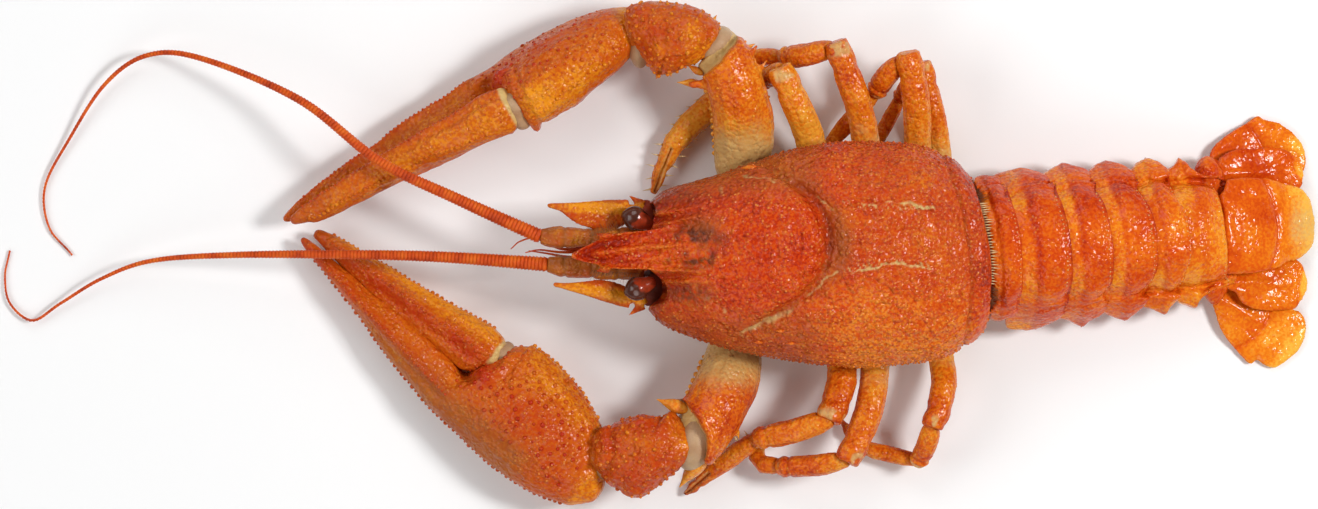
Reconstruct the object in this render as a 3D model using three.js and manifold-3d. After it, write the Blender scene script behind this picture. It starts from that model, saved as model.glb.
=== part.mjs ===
// A cooked crayfish lying on its belly, head towards -X, back up.
// Millimetres, +Z up. The origin is on the table, under the middle of the whole outline.
// "right" and "left" are the animal's own sides: right is +Y, left is -Y.
import * as THREE from "three";
import { mergeVertices } from "three/addons/utils/BufferGeometryUtils.js";
import Module from "manifold-3d";

const wasm = await Module();
wasm.setup();

// Driving dimensions
const GAP = 0.3; // between shell pieces that touch
const EASE = 0.35; // clearance of a limb's socket round the ball that it turns on
const HEAD_X = -2; // front rim of the carapace
const NECK_X = 57.2; // rear rim of the carapace
const SLANT_START_X = 40; // from here back the carapace takes on the slant of the tail's rings
const CARAPACE_HALF_WIDTH = 19.7;
const CARAPACE_AXIS_Z = 16; // height of the widest line of the carapace
const CARAPACE_RISE = 14.8; // from that line to the crown of the back
const BACK_LEAN = 2.8; // the animal lies rolled, so that its crown leans this far to the right
const ROSTRUM_TIP = [-15.2, -0.3, 23.4];
const GROOVE_DEPTH = 1.3; // cervical groove, between the head and the thorax
const BELLY_HEIGHT = 6.6; // underside plate that the animal rests on
const TAIL_Y = 1; // the tail starts this far to the right of the middle
const TAIL_YAW = 0.07; // the tail bends to the right, in radians
const RING_SWEEP = 0.05; // rings lie slanted, right side forward
const RING_BOW = 0.0097; // and both of their sides lie further forward than the back
const TAIL_JOINTS = [0, 4.6, 13.2, 20.4, 28, 34.2, 42]; // rear edges of the rings, from the neck
const CLAW_LENGTH = 66;
const CLAW_KNUCKLE = 25.5; // from the wrist to the hinge of the movable finger

// Colours of the cooked shell
const RED = 0xc2451c;
const ORANGE = 0xcc641c;
const AMBER = 0xd98a2b;
const TAIL = 0xd4581a;
const FAN = 0xdb701d;
const CREAM = 0xd9b070;
const DARK = 0x3a2018;

function material(color, roughness = 0.45) {
  return new THREE.MeshStandardMaterial({ color, roughness, metalness: 0 });
}

// A smooth curve through [place, value] pairs, level beyond its ends.
function profile(pairs) {
  const last = pairs.length - 1;
  const slope = (i) => {
    const before = pairs[Math.max(i - 1, 0)];
    const after = pairs[Math.min(i + 1, last)];
    return (after[1] - before[1]) / (after[0] - before[0]);
  };
  return (place) => {
    if (place <= pairs[0][0]) return pairs[0][1];
    if (place >= pairs[last][0]) return pairs[last][1];
    const i = pairs.findIndex((pair) => pair[0] > place) - 1;
    const span = pairs[i + 1][0] - pairs[i][0];
    const u = (place - pairs[i][0]) / span;
    const ease = u * u * (3 - 2 * u);
    const bend = u * (1 - u) * span;
    return (
      pairs[i][1] * (1 - ease) +
      pairs[i + 1][1] * ease +
      bend * (slope(i) * (1 - u) - slope(i + 1) * u)
    );
  };
}

// Values at even places from 0 to 1.
function evenly(...values) {
  return profile(values.map((value, i) => [i / (values.length - 1), value]));
}

// A section of four quarter ovals that reach left, right, up and down from the line.
function oval({ left, right = left, up, down = up, power = 2 }) {
  const swell = (c) => Math.sign(c) * Math.abs(c) ** (2 / power);
  return (t, across, lift) => [
    swell(across) * (across > 0 ? left(t) : right(t)),
    swell(lift) * (lift > 0 ? up(t) : down(t)),
  ];
}

// A section between two edges, given as distances to the left of the line.
function between({ left, right, up, down = up }) {
  return (t, across, lift) => {
    const half = (left(t) - right(t)) / 2;
    return [right(t) + half + across * half, lift * (lift > 0 ? up(t) : down(t))];
  };
}

// A closed shell that follows a line, with a section of [left, up] at each place from 0 to 1.
function loft(line, section, { sides, steps }) {
  const curve = new THREE.CatmullRomCurve3(
    line.map((point) => new THREE.Vector3(...point)),
    false,
    "centripetal",
  );
  const tube = new THREE.CylinderGeometry(1, 1, 1, sides, steps);
  tube.deleteAttribute("normal");
  tube.deleteAttribute("uv");
  const shell = mergeVertices(tube);
  const points = shell.getAttribute("position");
  const sky = new THREE.Vector3(0, 0, 1);
  const vertex = new THREE.Vector3();
  for (let i = 0; i < points.count; i++) {
    vertex.fromBufferAttribute(points, i);
    const t = THREE.MathUtils.clamp(0.5 - vertex.y, 0, 1);
    const [across, lift] = section(t, vertex.x, vertex.z);
    const ahead = curve.getTangentAt(t);
    const left = new THREE.Vector3().crossVectors(sky, ahead).normalize();
    const up = new THREE.Vector3().crossVectors(ahead, left);
    const point = curve.getPointAt(t).addScaledVector(left, across).addScaledVector(up, lift);
    points.setXYZ(i, point.x, point.y, point.z);
  }
  return shell;
}

// Conversions to a solid that can be joined and cut, and back
function solid(geometry) {
  const bare = new THREE.BufferGeometry();
  bare.setAttribute("position", geometry.getAttribute("position"));
  bare.setIndex(geometry.index);
  const merged = mergeVertices(bare, 1e-4);
  return new wasm.Manifold(
    new wasm.Mesh({
      numProp: 3,
      vertProperties: new Float32Array(merged.getAttribute("position").array),
      triVerts: new Uint32Array(merged.index.array),
    }),
  );
}

function geometryOf(body) {
  const mesh = body.getMesh();
  const geometry = new THREE.BufferGeometry();
  geometry.setAttribute("position", new THREE.BufferAttribute(mesh.vertProperties, 3));
  geometry.setIndex(new THREE.BufferAttribute(mesh.triVerts, 1));
  return geometry;
}

// A sharp spine that stands on a shell, from its foot to its point.
function spine(foot, point, radius) {
  const from = new THREE.Vector3(...foot);
  const to = new THREE.Vector3(...point);
  const cone = new THREE.ConeGeometry(radius, from.distanceTo(to), 6);
  cone.translate(0, from.distanceTo(to) / 2, 0);
  const turn = new THREE.Quaternion().setFromUnitVectors(
    new THREE.Vector3(0, 1, 0),
    to.sub(from).normalize(),
  );
  cone.applyQuaternion(turn);
  cone.translate(...foot);
  return cone;
}

// One shell with others fused on and, last, others cut out of it.
function joined(shell, added, removed = []) {
  let body = solid(shell);
  for (const other of added) body = body.add(solid(other));
  for (const other of removed) body = body.subtract(solid(other));
  return geometryOf(body);
}

const crayfish = new THREE.Group();

function place(name, geometry, finish, group = crayfish) {
  const mesh = new THREE.Mesh(geometry, finish);
  mesh.name = name;
  group.add(mesh);
  return mesh;
}

// How far a place on the back lies from the U-shaped cervical groove, open towards the head.
const GROOVE_BACK_X = 29.3;
const GROOVE_MIDDLE_Y = 2;
const GROOVE_HALF_WIDTH = 13.5;
const GROOVE_REACH = 11; // from its back to its arms beside the head
const GROOVE_SPREAD = 1.9;
const GROOVE_END = 1.25; // its arms run out here, in half widths
function grooveDepth(x, y) {
  const side = (y - GROOVE_MIDDLE_Y) / GROOVE_HALF_WIDTH;
  if (Math.abs(side) > GROOVE_END) return 0;
  const grooveX = GROOVE_BACK_X - GROOVE_REACH * Math.abs(side) ** 2.4;
  return GROOVE_DEPTH * Math.exp(-(((x - grooveX) / GROOVE_SPREAD) ** 2));
}

// Carapace with the beak-like rostrum and the two hollows that the eyes sit in
const EYES = { right: [-4.4, 6.4, 19.6], left: [-4.0, -6.0, 19.6] };
const ORBIT_RADIUS = 2.9;

function carapace() {
  const span = NECK_X - HEAD_X;
  const at = (x) => (x - HEAD_X) / span;
  const along = (...pairs) => profile(pairs.map(([x, value]) => [at(x), value]));
  const rightHalf = along(
    [-2, 9], [0.2, 10.8], [3.7, 12.2], [9.8, 13.7], [19.4, 17.1], [28, 19.3], [34, CARAPACE_HALF_WIDTH],
    [45, 19.3], [51.5, 18.3], [55, 16.8], [NECK_X, 13.4],
  );
  const leftHalf = along(
    [-2, 9.6], [-0.7, 11.4], [2, 12.9], [8, 15.3], [15, 17.1], [25, 18.8], [35, CARAPACE_HALF_WIDTH],
    [46, 18.8], [51, 17.8], [55, 15.4], [NECK_X, 12.8],
  );
  const rise = along(
    [-2, 6.6], [1, 9.2], [6, 11.8], [14, 13.8], [23, CARAPACE_RISE], [40, CARAPACE_RISE],
    [48, 13.6], [54, 10.6], [NECK_X, 8.6],
  );
  const drop = along([-2, 3.6], [4, 5.8], [14, 8.4], [46, 9], [54, 7.2], [NECK_X, 5.6]);
  const ring = oval({ left: rightHalf, right: leftHalf, up: rise, down: drop, power: 2.25 });
  const section = (t, across, lift) => {
    const [y, z] = ring(t, across, lift);
    const lean = lift > 0 ? BACK_LEAN * lift * lift : 0;
    const dent = lift > 0 ? grooveDepth(HEAD_X + t * span, y + lean) : 0;
    return [y + lean, z - dent * lift];
  };
  const line = [
    [HEAD_X, 0, CARAPACE_AXIS_Z],
    [NECK_X, 0, CARAPACE_AXIS_Z],
  ];
  const body = loft(line, section, { sides: 30, steps: 26 });
  const points = body.getAttribute("position");
  for (let i = 0; i < points.count; i++) {
    const x = points.getX(i);
    const y = points.getY(i) - TAIL_Y;
    const share = THREE.MathUtils.smoothstep(x, SLANT_START_X, NECK_X);
    points.setX(i, x - share * ((RING_SWEEP + TAIL_YAW) * y + RING_BOW * y * y));
  }
  const rostrum = loft(
    [[8, 1.2, 26.6], [0, 0.9, 25.2], [-8, 0.5, 24], ROSTRUM_TIP],
    oval({ left: evenly(5.6, 4.6, 4.0, 3.5, 3.3, 2.0, 0.5), up: evenly(1.5, 1.4, 1.1, 0.9, 0.5) }),
    { sides: 10, steps: 11 },
  );
  const teeth = [3.7, -3.0].map((y) => spine([-8.6, y * 0.8, 24], [-11.4, y, 24.1], 1.0));
  const orbits = Object.values(EYES).map((eye) => {
    const ball = new THREE.SphereGeometry(ORBIT_RADIUS, 12, 8);
    ball.deleteAttribute("normal");
    ball.deleteAttribute("uv");
    const hollow = mergeVertices(ball);
    hollow.scale(1.25, 1, 1);
    hollow.translate(eye[0] + 1.2, eye[1], eye[2]);
    return hollow;
  });
  return joined(joined(body, [], orbits), [rostrum, ...teeth]);
}
place("carapace", carapace(), material(RED));

// Belly plate between the legs: its flat underside is what the animal rests on
function belly() {
  const outline = new THREE.Shape();
  outline.moveTo(12, -4.2);
  outline.quadraticCurveTo(40, -7, 53, -7);
  outline.quadraticCurveTo(56, 0, 53, 7);
  outline.quadraticCurveTo(40, 7, 12, 4.2);
  outline.quadraticCurveTo(10, 0, 12, -4.2);
  return new THREE.ExtrudeGeometry(outline, {
    depth: BELLY_HEIGHT,
    bevelEnabled: false,
    curveSegments: 6,
  });
}
place("belly", belly(), material(CREAM, 0.6));

// Mouth limbs under the head
for (const [side, sign] of [["right", 1], ["left", -1]]) {
  const line = [
    [9.6, sign * 2.6, 5],
    [3, sign * 3.4, 6.6],
    [-3.4, sign * 2.3, 9.4],
  ];
  const section = oval({ left: evenly(1.3, 2, 1.9, 1.4, 0.5), up: evenly(1.6, 2.4, 2.2, 1.5, 0.5) });
  place(`${side}_mouth_limb`, loft(line, section, { sides: 8, steps: 6 }), material(AMBER));
}

// Eyes on their short stalks
for (const [side, eye] of Object.entries(EYES)) {
  const sign = Math.sign(eye[1]);
  const line = [
    [eye[0] + 3.2, eye[1] - sign * 1.4, eye[2] - 0.4],
    eye,
    [eye[0] - 2.0, eye[1] + sign * 0.6, eye[2] + 0.2],
  ];
  const radius = evenly(0.6, 1.2, 1.5, 2.0, 2.0, 1.5, 0.3);
  const eyeball = loft(line, oval({ left: radius, up: radius }), { sides: 10, steps: 8 });
  place(`${side}_eye`, eyeball, material(DARK, 0.15));
}

// Antennae: a leaf-like scale and a stout base at the head, then the long whip
const SCALES = {
  right: {
    root: [-5.4, 8, 15.9],
    tip: [-19.2, 8.5, 18.3],
    spur: [[-2.9, 8.6, 15.2], [-5.4, 10.4, 15.9]],
  },
  left: {
    root: [-5, -7.8, 15.9],
    tip: [-18.2, -5.2, 18.3],
    spur: [[-2.9, -8.8, 15.2], [-5.4, -10.7, 15.9]],
  },
};
for (const [side, { root, tip, spur }] of Object.entries(SCALES)) {
  const outer = evenly(1.6, 1.5, 1.2, 0.8, 0.5, 0.2);
  const inner = evenly(1.8, 2.4, 2.5, 1.7, 0.8, 0.2);
  const [left, right] = side === "right" ? [inner, outer] : [outer, inner];
  const bladeSection = oval({ left, right, up: evenly(0.9, 0.8, 0.6, 0.5, 0.2) });
  const blade = loft([root, tip], bladeSection, { sides: 8, steps: 7 });
  const bridge = loft(
    [spur[0], [(spur[0][0] + root[0]) / 2, root[1] * 0.92, 15.6], [root[0] - 1, root[1], 15.9]],
    oval({ left: evenly(1.1, 1.3, 1.0), up: evenly(0.9, 1.0, 0.7) }),
    { sides: 8, steps: 4 },
  );
  place(`${side}_antenna_scale`, joined(blade, [bridge, spine(...spur, 1.0)]), material(AMBER));
}

const ANTENNAE = {
  right: {
    base: [[-2.7, 3.1, 16.2], [-10, 3.0, 16.6], [-15, 2.9, 17.0], [-20.6, 3.1, 17.4]],
    whip: [
      [-21.0, 3.3, 17.4],
      [-34.8, 9.5, 15.8],
      [-48.8, 16.3, 14.2],
      [-62.8, 27.0, 11.0],
      [-80.3, 34.4, 6.6],
      [-90.0, 35.0, 4.2],
      [-97.5, 30.0, 2.6],
      [-104.0, 20.2, 1.2],
      [-108.2, 12.0, 0.7],
      [-107.6, 5.0, 0.5],
      [-103.9, 0.4, 0.4],
    ],
  },
  left: {
    base: [[-2.7, -2.7, 16.2], [-9, -2.6, 16.6], [-14.5, -2.3, 17.0], [-19.4, -1.7, 17.3]],
    whip: [
      [-19.8, -1.7, 17.3],
      [-38.3, -0.4, 15.0],
      [-56.0, 0.0, 12.0],
      [-75.0, -0.1, 8.0],
      [-89.1, -1.1, 5.0],
      [-98.0, -4.2, 3.0],
      [-105.4, -8.6, 1.6],
      [-110.4, -11.6, 1.0],
      [-114.4, -8.6, 0.7],
      [-115.3, -4.0, 0.5],
      [-114.6, 0.0, 0.4],
    ],
  },
};
for (const [side, { base, whip }] of Object.entries(ANTENNAE)) {
  const stout = evenly(1.5, 1.8, 1.7, 1.9, 1.55, 1.85, 1.9, 1.3);
  const stem = loft(base, oval({ left: stout, up: stout }), { sides: 8, steps: 9 });
  place(`${side}_antenna_base`, stem, material(ORANGE));
  const taper = evenly(1.15, 0.95, 0.82, 0.7, 0.55, 0.42, 0.3, 0.22, 0.15);
  const feeler = loft(whip, oval({ left: taper, up: taper }), { sides: 5, steps: 38 });
  place(`${side}_antenna_whip`, feeler, material(RED));
}

// Tail: six overlapping rings whose side flaps hang in points, then the fan
const tail = new THREE.Group();
tail.position.set(NECK_X + GAP, TAIL_Y, 0);
tail.rotation.z = TAIL_YAW;
crayfish.add(tail);

const TAIL_LENGTH = TAIL_JOINTS.at(-1);
const TAIL_AXIS_Z = evenly(10.5, 9.8, 9.2, 8.6, 8, 7.2);
const TAIL_RISE = evenly(11.6, 12, 11.6, 10.6, 8.8, 4.4);
const TAIL_DROP = evenly(8.6, 8.4, 8, 7.4, 6.2, 4.2);
const TAIL_HALF_WIDTH = evenly(11.4, 11.4, 11, 10.4, 9.6, 8.4);
const FLAP_FLARE = 2.2; // side flaps stand this far out of the ring
const FLAP_POINTS = { right: [0.4, 1.4, 2, 2.3, 2.7, 2.9], left: [0.2, 2.8, 2.9, 2.6, 2.4, 2.2] };
const FLAP_PLACE = 0.54; // where along a ring its flaps are longest
const RING_STEP = 0.06; // how far a ring's rear edge stands over the front of the next

function tailRing(index) {
  const from = TAIL_JOINTS[index] + GAP / 2;
  const to = TAIL_JOINTS[index + 1] - GAP / 2;
  const sharpness = index < 2 ? 0.5 : 0.9;
  const point = (t) => Math.max(0, 1 - Math.abs((t - FLAP_PLACE) / FLAP_PLACE)) ** sharpness;
  const section = (t, across, lift) => {
    const s = (from + t * (to - from)) / TAIL_LENGTH;
    const step = 1 - RING_STEP + RING_STEP * THREE.MathUtils.smoothstep(t, 0.1, 0.6);
    const half = TAIL_HALF_WIDTH(s) * step;
    const down = Math.max(-lift, 0);
    const hang = Math.sin(Math.PI * Math.min(down * 1.05, 1)) ** 1.3;
    const reach = FLAP_POINTS[across > 0 ? "right" : "left"][index] * point(t);
    const width = half * Math.abs(across) ** 0.85 + (FLAP_FLARE + reach) * hang;
    const height = lift > 0 ? TAIL_RISE(s) * step * lift : TAIL_DROP(s) * lift;
    const slope = TAIL_AXIS_Z(s) - TAIL_AXIS_Z(0);
    return [Math.sign(across) * width, height + slope];
  };
  const line = [
    [from, 0, TAIL_AXIS_Z(0)],
    [to, 0, TAIL_AXIS_Z(0)],
  ];
  const ring = loft(line, section, { sides: 24, steps: index === 0 ? 3 : 6 });
  const points = ring.getAttribute("position");
  for (let i = 0; i < points.count; i++) {
    const y = points.getY(i);
    points.setX(i, points.getX(i) - RING_SWEEP * y - RING_BOW * y * y);
  }
  return ring;
}
for (let index = 0; index < 6; index++) {
  place(`tail_ring_${index + 1}`, tailRing(index), material(TAIL, 0.35), tail);
}

// Fan plates: the telson in the middle, an inner and an outer plate on each side
function plate(name, line, left, right, thick) {
  const section = oval({ left, right, up: evenly(...thick) });
  place(name, loft(line, section, { sides: 12, steps: 9 }), material(FAN, 0.3));
}
plate(
  "telson",
  [[100.6, 4.2, 9.2], [107, 4.7, 6.4], [115.2, 5.2, 3.2]],
  evenly(6.6, 7.2, 7.4, 7.3, 6.9, 6.6, 5.6, 1.2),
  evenly(6.6, 7.2, 7.2, 7.0, 6.4, 6.3, 5.4, 1.2),
  [1.6, 1.3, 1.1, 0.9, 0.5],
);
plate(
  "right_inner_plate",
  [[98.6, 14.2, 3.6], [106, 15.0, 2.6], [113.2, 14.8, 2.0]],
  evenly(1.6, 3.4, 4.0, 4.1, 3.9, 3.2, 1.0),
  evenly(1.6, 2.4, 2.6, 2.6, 2.6, 2.4, 0.8),
  [0.9, 0.6, 0.6, 0.5, 0.3],
);
plate(
  "right_outer_plate",
  [[94.6, 12.6, 0.9], [98.5, 16, 0.9], [105, 18.2, 0.9], [113.7, 18.8, 0.7]],
  evenly(1.2, 1.2, 2.4, 4.2, 5.2, 5.6, 4.4, 2.5, 0.6),
  evenly(1.2, 1.4, 2, 2.9, 3.5, 4.3, 4.6, 4, 0.8),
  [0.5, 0.5, 0.5, 0.4, 0.3],
);
plate(
  "left_inner_plate",
  [[100.9, -4.9, 3.5], [106, -5.6, 2.6], [114.0, -5.2, 2.0]],
  evenly(1.4, 2.4, 2.8, 3.2, 3.8, 3.6, 1.0),
  evenly(1.4, 2.6, 3.4, 4.0, 4.4, 3.6, 1.0),
  [0.9, 0.6, 0.6, 0.5, 0.3],
);
plate(
  "left_outer_plate",
  [[95.4, -2.6, 0.9], [98, -7.4, 0.9], [104, -12.2, 0.9], [112.2, -15.8, 0.7]],
  evenly(1.2, 1.6, 2.8, 3.6, 4.4, 4.9, 4.8, 3.8, 0.8),
  evenly(1, 1.3, 1.8, 3, 4.4, 5.6, 6.2, 5.6, 1.6),
  [0.5, 0.5, 0.5, 0.4, 0.3],
);

// Great claws, in their own frame: +X from the wrist to the tip, +Y towards the outer edge
const PALM_START = -2.8;
const FINGER_START = 28;
const FINGER_END = 64.8;
const PALM_OUTER = [
  [-2.8, 5.4], [-1, 7.9], [2, 9.3], [5, 10.6], [11, 11.5], [17, 11.8], [23, 11.2], [29, 10.4], [35, 9.1],
  [41, 7.9], [47, 6.2], [53, 4.5], [59, 3], [CLAW_LENGTH, 0.9],
];
const PALM_INNER = [
  [-2.8, 2.2], [-1, -0.8], [2, -4.4], [5, -6.4], [8, -7.6], [14, -9.6], [20, -9.9], [23.2, -9.8],
  [CLAW_KNUCKLE, -6], [27, 0.6], [28.6, 1.5], [36, 1.3], [44, 1.2], [53, 0.75], [62, 0.25], [CLAW_LENGTH, 0.3],
];
const PALM_DEPTH = [
  [-2.8, 1.6], [-1, 3], [2, 4.6], [8, 6.2], [16, 6.6], [24, 5.6], [32, 4.3], [44, 3.3], [56, 2.2], [63, 1.4],
  [CLAW_LENGTH, 0.5],
];
const FINGER_OUTER = [[28, -1.6], [30.6, 1.1], [36, 1], [44, 0.85], [53, 0.4], [62, -0.1], [64.8, -1.1]];
const FINGER_INNER = [
  [28, -6.2], [30, -7.6], [35, -7.3], [41, -6.3], [47, -5.6], [53, -5], [59, -4.3], [63, -3.4], [64.8, -2],
];
const FINGER_DEPTH = [[28, 2.4], [30.4, 3.9], [36, 3.7], [44, 3.2], [53, 2.5], [60, 1.8], [64.8, 0.5]];

// mirror is +1 where the outer edge lies to the left of the way that the claw points.
// Returns the room that the palm takes, which the wrist piece is cut by.
function claw(side, mirror, { position, heading, pitch, roll, size }) {
  const frame = new THREE.Group();
  frame.position.set(...position);
  frame.rotation.set(roll, -pitch, heading, "ZYX");
  frame.scale.set(...size);
  crayfish.add(frame);
  frame.updateMatrixWorld(true);
  const shell = (from, to, [outer, inner, depth], detail, ease = 0) => {
    const over = (pairs, grow) => profile(pairs.map(([x, y]) => [(x - from) / (to - from), y + grow]));
    const [far, near] = [over(outer, ease), over(inner, -ease)];
    const left = mirror > 0 ? far : (t) => -near(t);
    const right = mirror > 0 ? near : (t) => -far(t);
    const line = [[from - ease, 0, 0], [to + ease, 0, 0]];
    return loft(line, between({ left, right, up: over(depth, ease) }), detail);
  };
  const palmShape = [PALM_OUTER, PALM_INNER, PALM_DEPTH];
  const fingerShape = [FINGER_OUTER, FINGER_INNER, FINGER_DEPTH];
  const palmDetail = { sides: 14, steps: 24 };
  const palm = shell(PALM_START, CLAW_LENGTH, palmShape, palmDetail);
  place(`${side}_claw_palm`, palm, material(ORANGE), frame);
  const finger = shell(FINGER_START, FINGER_END, fingerShape, { sides: 10, steps: 12 });
  place(`${side}_claw_finger`, finger, material(ORANGE), frame);
  return shell(PALM_START, CLAW_LENGTH, palmShape, palmDetail, EASE).applyMatrix4(frame.matrixWorld);
}
const PALM_ROOM = {};
PALM_ROOM.left = claw("left", 1, {
  position: [-10.4, -37.3, 7.9],
  heading: Math.PI - 0.663,
  pitch: -0.07,
  roll: 0,
  size: [1, 1, 1],
});
PALM_ROOM.right = claw("right", -1, {
  position: [-4.5, 39.3, 10.6],
  heading: Math.PI + 0.5,
  pitch: -0.075,
  roll: 1.08,
  size: [1.06, 0.8, 0.95],
});

// Arms of the great claws: an upper arm from the belly to the elbow, then a knobbly wrist piece
const ARMS = {
  right: {
    upper: [[14.8, 9.2, 5.4], [14.4, 19, 8.4], [13.6, 28, 12.2], [11.8, 34, 13.8], [9.6, 36.2, 14.2]],
    left: evenly(2.4, 4.6, 4.8, 4.7, 5.0, 4.8),
    right: evenly(2.4, 4.8, 5.8, 5.7, 4.9, 4.2),
    wrist: [[10.4, 37.9, 13.8], [2.6, 38.2, 12.6], [-3.9, 38.2, 10.4]],
    wristLeft: evenly(3.2, 5.4, 6.4, 6.6, 5.2, 2.6),
    wristRight: evenly(2.8, 4.6, 5.8, 5.9, 5.0, 2.6),
    spines: [
      [[9.6, 29.4, 13.4], [4.2, 29.9, 13.6], 1.1],
      [[9.4, 31.6, 14], [5.2, 32.2, 14.2], 0.9],
      [[15.6, 34.4, 14.4], [17.6, 37.2, 14.8], 0.8],
      [[17.0, 31.6, 13.4], [19.2, 34.4, 13.6], 0.8],
    ],
    wristSpines: [
      [[0.8, 33.0, 12], [-0.6, 30.6, 11.6], 0.9],
      [[3.4, 33.2, 12], [2.2, 31.0, 11.6], 0.8],
      [[7.4, 33.8, 12.8], [6.6, 32.2, 12.4], 0.7],
    ],
  },
  left: {
    upper: [[14.0, -9.2, 5.4], [12.5, -17, 7.4], [10.2, -25, 11.2], [8.0, -30, 12.8], [5.2, -33.4, 13]],
    left: evenly(2.4, 5.0, 6.2, 6.2, 5.4, 5.2),
    right: evenly(2.4, 3.8, 4.4, 5.0, 5.0, 4.6),
    wrist: [[4.6, -33.4, 12.8], [-2.6, -34.8, 11.8], [-9.6, -36.4, 9.2]],
    wristLeft: evenly(3.0, 5.6, 7.2, 7.6, 5.6, 2.8),
    wristRight: evenly(3.0, 5.0, 6.0, 6.0, 5.2, 2.8),
    spines: [
      [[7.0, -26.4, 12.4], [-0.2, -25.2, 12.8], 1.1],
      [[12.8, -29.2, 12], [14.0, -31.8, 12.2], 0.8],
      [[10.6, -32.4, 12.4], [11.2, -34.6, 12.4], 0.7],
    ],
    wristSpines: [
      [[0.2, -29.8, 12.4], [0.6, -28.2, 12.6], 0.8],
    ],
  },
};
const ARM_DEPTH = evenly(2.4, 3.6, 4.3, 4.7, 4.9, 4.4);
const WRIST_DEPTH = evenly(2.8, 4.6, 5.4, 5.4, 4.6, 2.6);
for (const [side, arm] of Object.entries(ARMS)) {
  const grown = (width) => (t) => width(t) + EASE;
  const wristRoom = oval({
    left: grown(arm.wristLeft),
    right: grown(arm.wristRight),
    up: grown(WRIST_DEPTH),
  });
  const room = loft(arm.wrist, wristRoom, { sides: 12, steps: 8 });
  const upperSection = oval({ left: arm.left, right: arm.right, up: ARM_DEPTH });
  const upper = loft(arm.upper, upperSection, { sides: 12, steps: 9 });
  const upperSpines = arm.spines.map((spike) => spine(...spike));
  place(`${side}_arm_upper`, joined(upper, upperSpines, [room]), material(AMBER));
  const wristSection = oval({ left: arm.wristLeft, right: arm.wristRight, up: WRIST_DEPTH });
  const wrist = loft(arm.wrist, wristSection, { sides: 12, steps: 8 });
  const wristSpines = arm.wristSpines.map((spike) => spine(...spike));
  place(`${side}_arm_wrist`, joined(wrist, wristSpines, [PALM_ROOM[side]]), material(ORANGE));
}

// Walking legs: thigh, shin and foot, each piece turning on the one before it
const LEGS = {
  right_leg_1: {
    thigh: [[27.4, 8.6, 3.6], [26.9, 18.5, 8.4], [24.8, 24.5, 12], [21.0, 32.6, 13.6]],
    shin: [[21.4, 32.2, 13.0], [19.8, 31.4, 9.0], [17.8, 30.6, 5.4]],
    foot: [[17.4, 30.4, 4.8], [12, 28, 3.4], [6.2, 23.6, 3.4], [1.8, 18.2, 3.0], [-1.0, 10.9, 2.0]],
    girth: [5.2, 3.8, 4.8],
  },
  right_leg_2: {
    thigh: [[36.4, 8.6, 3.6], [36.4, 18.5, 8.6], [35.0, 25.5, 12.6], [30.8, 37.0, 14.8]],
    shin: [[30.4, 36.0, 14.2], [25.6, 34.9, 11.6], [21.6, 34.5, 7.8]],
    foot: [[22.0, 34.7, 7.8], [15.5, 34.4, 3.6], [10.0, 32.4, 1.8]],
    girth: [4.9, 4.0, 3.0],
  },
  right_leg_3: {
    thigh: [[45.2, 8.6, 3.6], [45.3, 18.5, 8.8], [44.9, 27, 12.8], [43.4, 35.2, 14.8]],
    shin: [[42.2, 33.6, 13.8], [40.0, 31.6, 12.2], [37.8, 28.2, 9.2]],
    foot: [[38.3, 29.0, 9.2], [34.3, 24.4, 6.2], [30.3, 19.7, 4.0], [27.5, 15.8, 1.6]],
    girth: [4.9, 3.8, 3.1],
  },
  right_leg_4: {
    thigh: [[50.2, 8.6, 3.4], [49.4, 18.5, 5.8], [48.1, 25.3, 8.4], [46.0, 33.6, 9.6]],
    shin: [[45.2, 32.0, 8.6], [44.0, 30.0, 7.2], [42.2, 27.2, 5.0]],
    foot: [[42.6, 27.8, 5.0], [38.4, 19.8, 2.8], [36.6, 15.6, 1.2]],
    girth: [3.8, 3.2, 2.6],
  },
  left_leg_1: {
    thigh: [[32.0, -8.6, 3.6], [32.1, -18.5, 7.6], [31.9, -22.8, 10.6], [29.6, -29.0, 12.6]],
    shin: [[30.0, -28.6, 12.4], [24, -30.7, 11.2], [16.8, -32.3, 8.6]],
    foot: [[17.8, -31.8, 8.6], [13.3, -35.1, 6.0], [9.4, -38.1, 3.6], [4.6, -42.2, 1.4]],
    girth: [5.3, 4.3, 3.5],
  },
  left_leg_2: {
    thigh: [[38.0, -8.6, 3.6], [37.9, -19.5, 7.6], [37.3, -25, 10], [35.8, -30, 11], [32.8, -36.2, 11.6]],
    shin: [[33.0, -35.8, 11.2], [27.3, -37.0, 8.8], [20.8, -37.2, 6.2]],
    foot: [[21.8, -37.2, 6.0], [17.8, -36.6, 4.4], [17.2, -34.4, 3.2], [19.6, -31.0, 1.8]],
    girth: [5.1, 3.8, 3.1],
  },
  left_leg_3: {
    thigh: [[43.8, -8.6, 3.4], [43.6, -12, 4.2], [43.3, -15.6, 4]],
    shin: [[42.9, -16.4, 3.4], [41, -16.2, 2.8], [39.4, -15.6, 2.2]],
    foot: [[38.8, -15.3, 2.0], [30, -13.5, 1.6], [24, -12, 1.0]],
    girth: [3.6, 2.8, 2.4],
  },
  left_leg_4: {
    thigh: [[48.6, -8.6, 3.2], [49.4, -18, 6.6], [50.0, -21.8, 9], [49.4, -25.5, 10.2], [47.8, -30.2, 11]],
    shin: [[47.9, -29.4, 10.6], [46.8, -33.7, 7.8], [45.2, -36.6, 5.2]],
    foot: [[45.8, -36.2, 5.0], [40.4, -35.1, 3.2], [35.5, -33.6, 2.6], [32.2, -29.3, 1.4]],
    girth: [4.6, 3.6, 2.9],
  },
};
const THIGH_SHAPE = evenly(0.72, 0.95, 1, 0.98, 0.98, 0.8);
const SHIN_SHAPE = evenly(0.7, 0.95, 1, 1, 0.98, 0.76);
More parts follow.
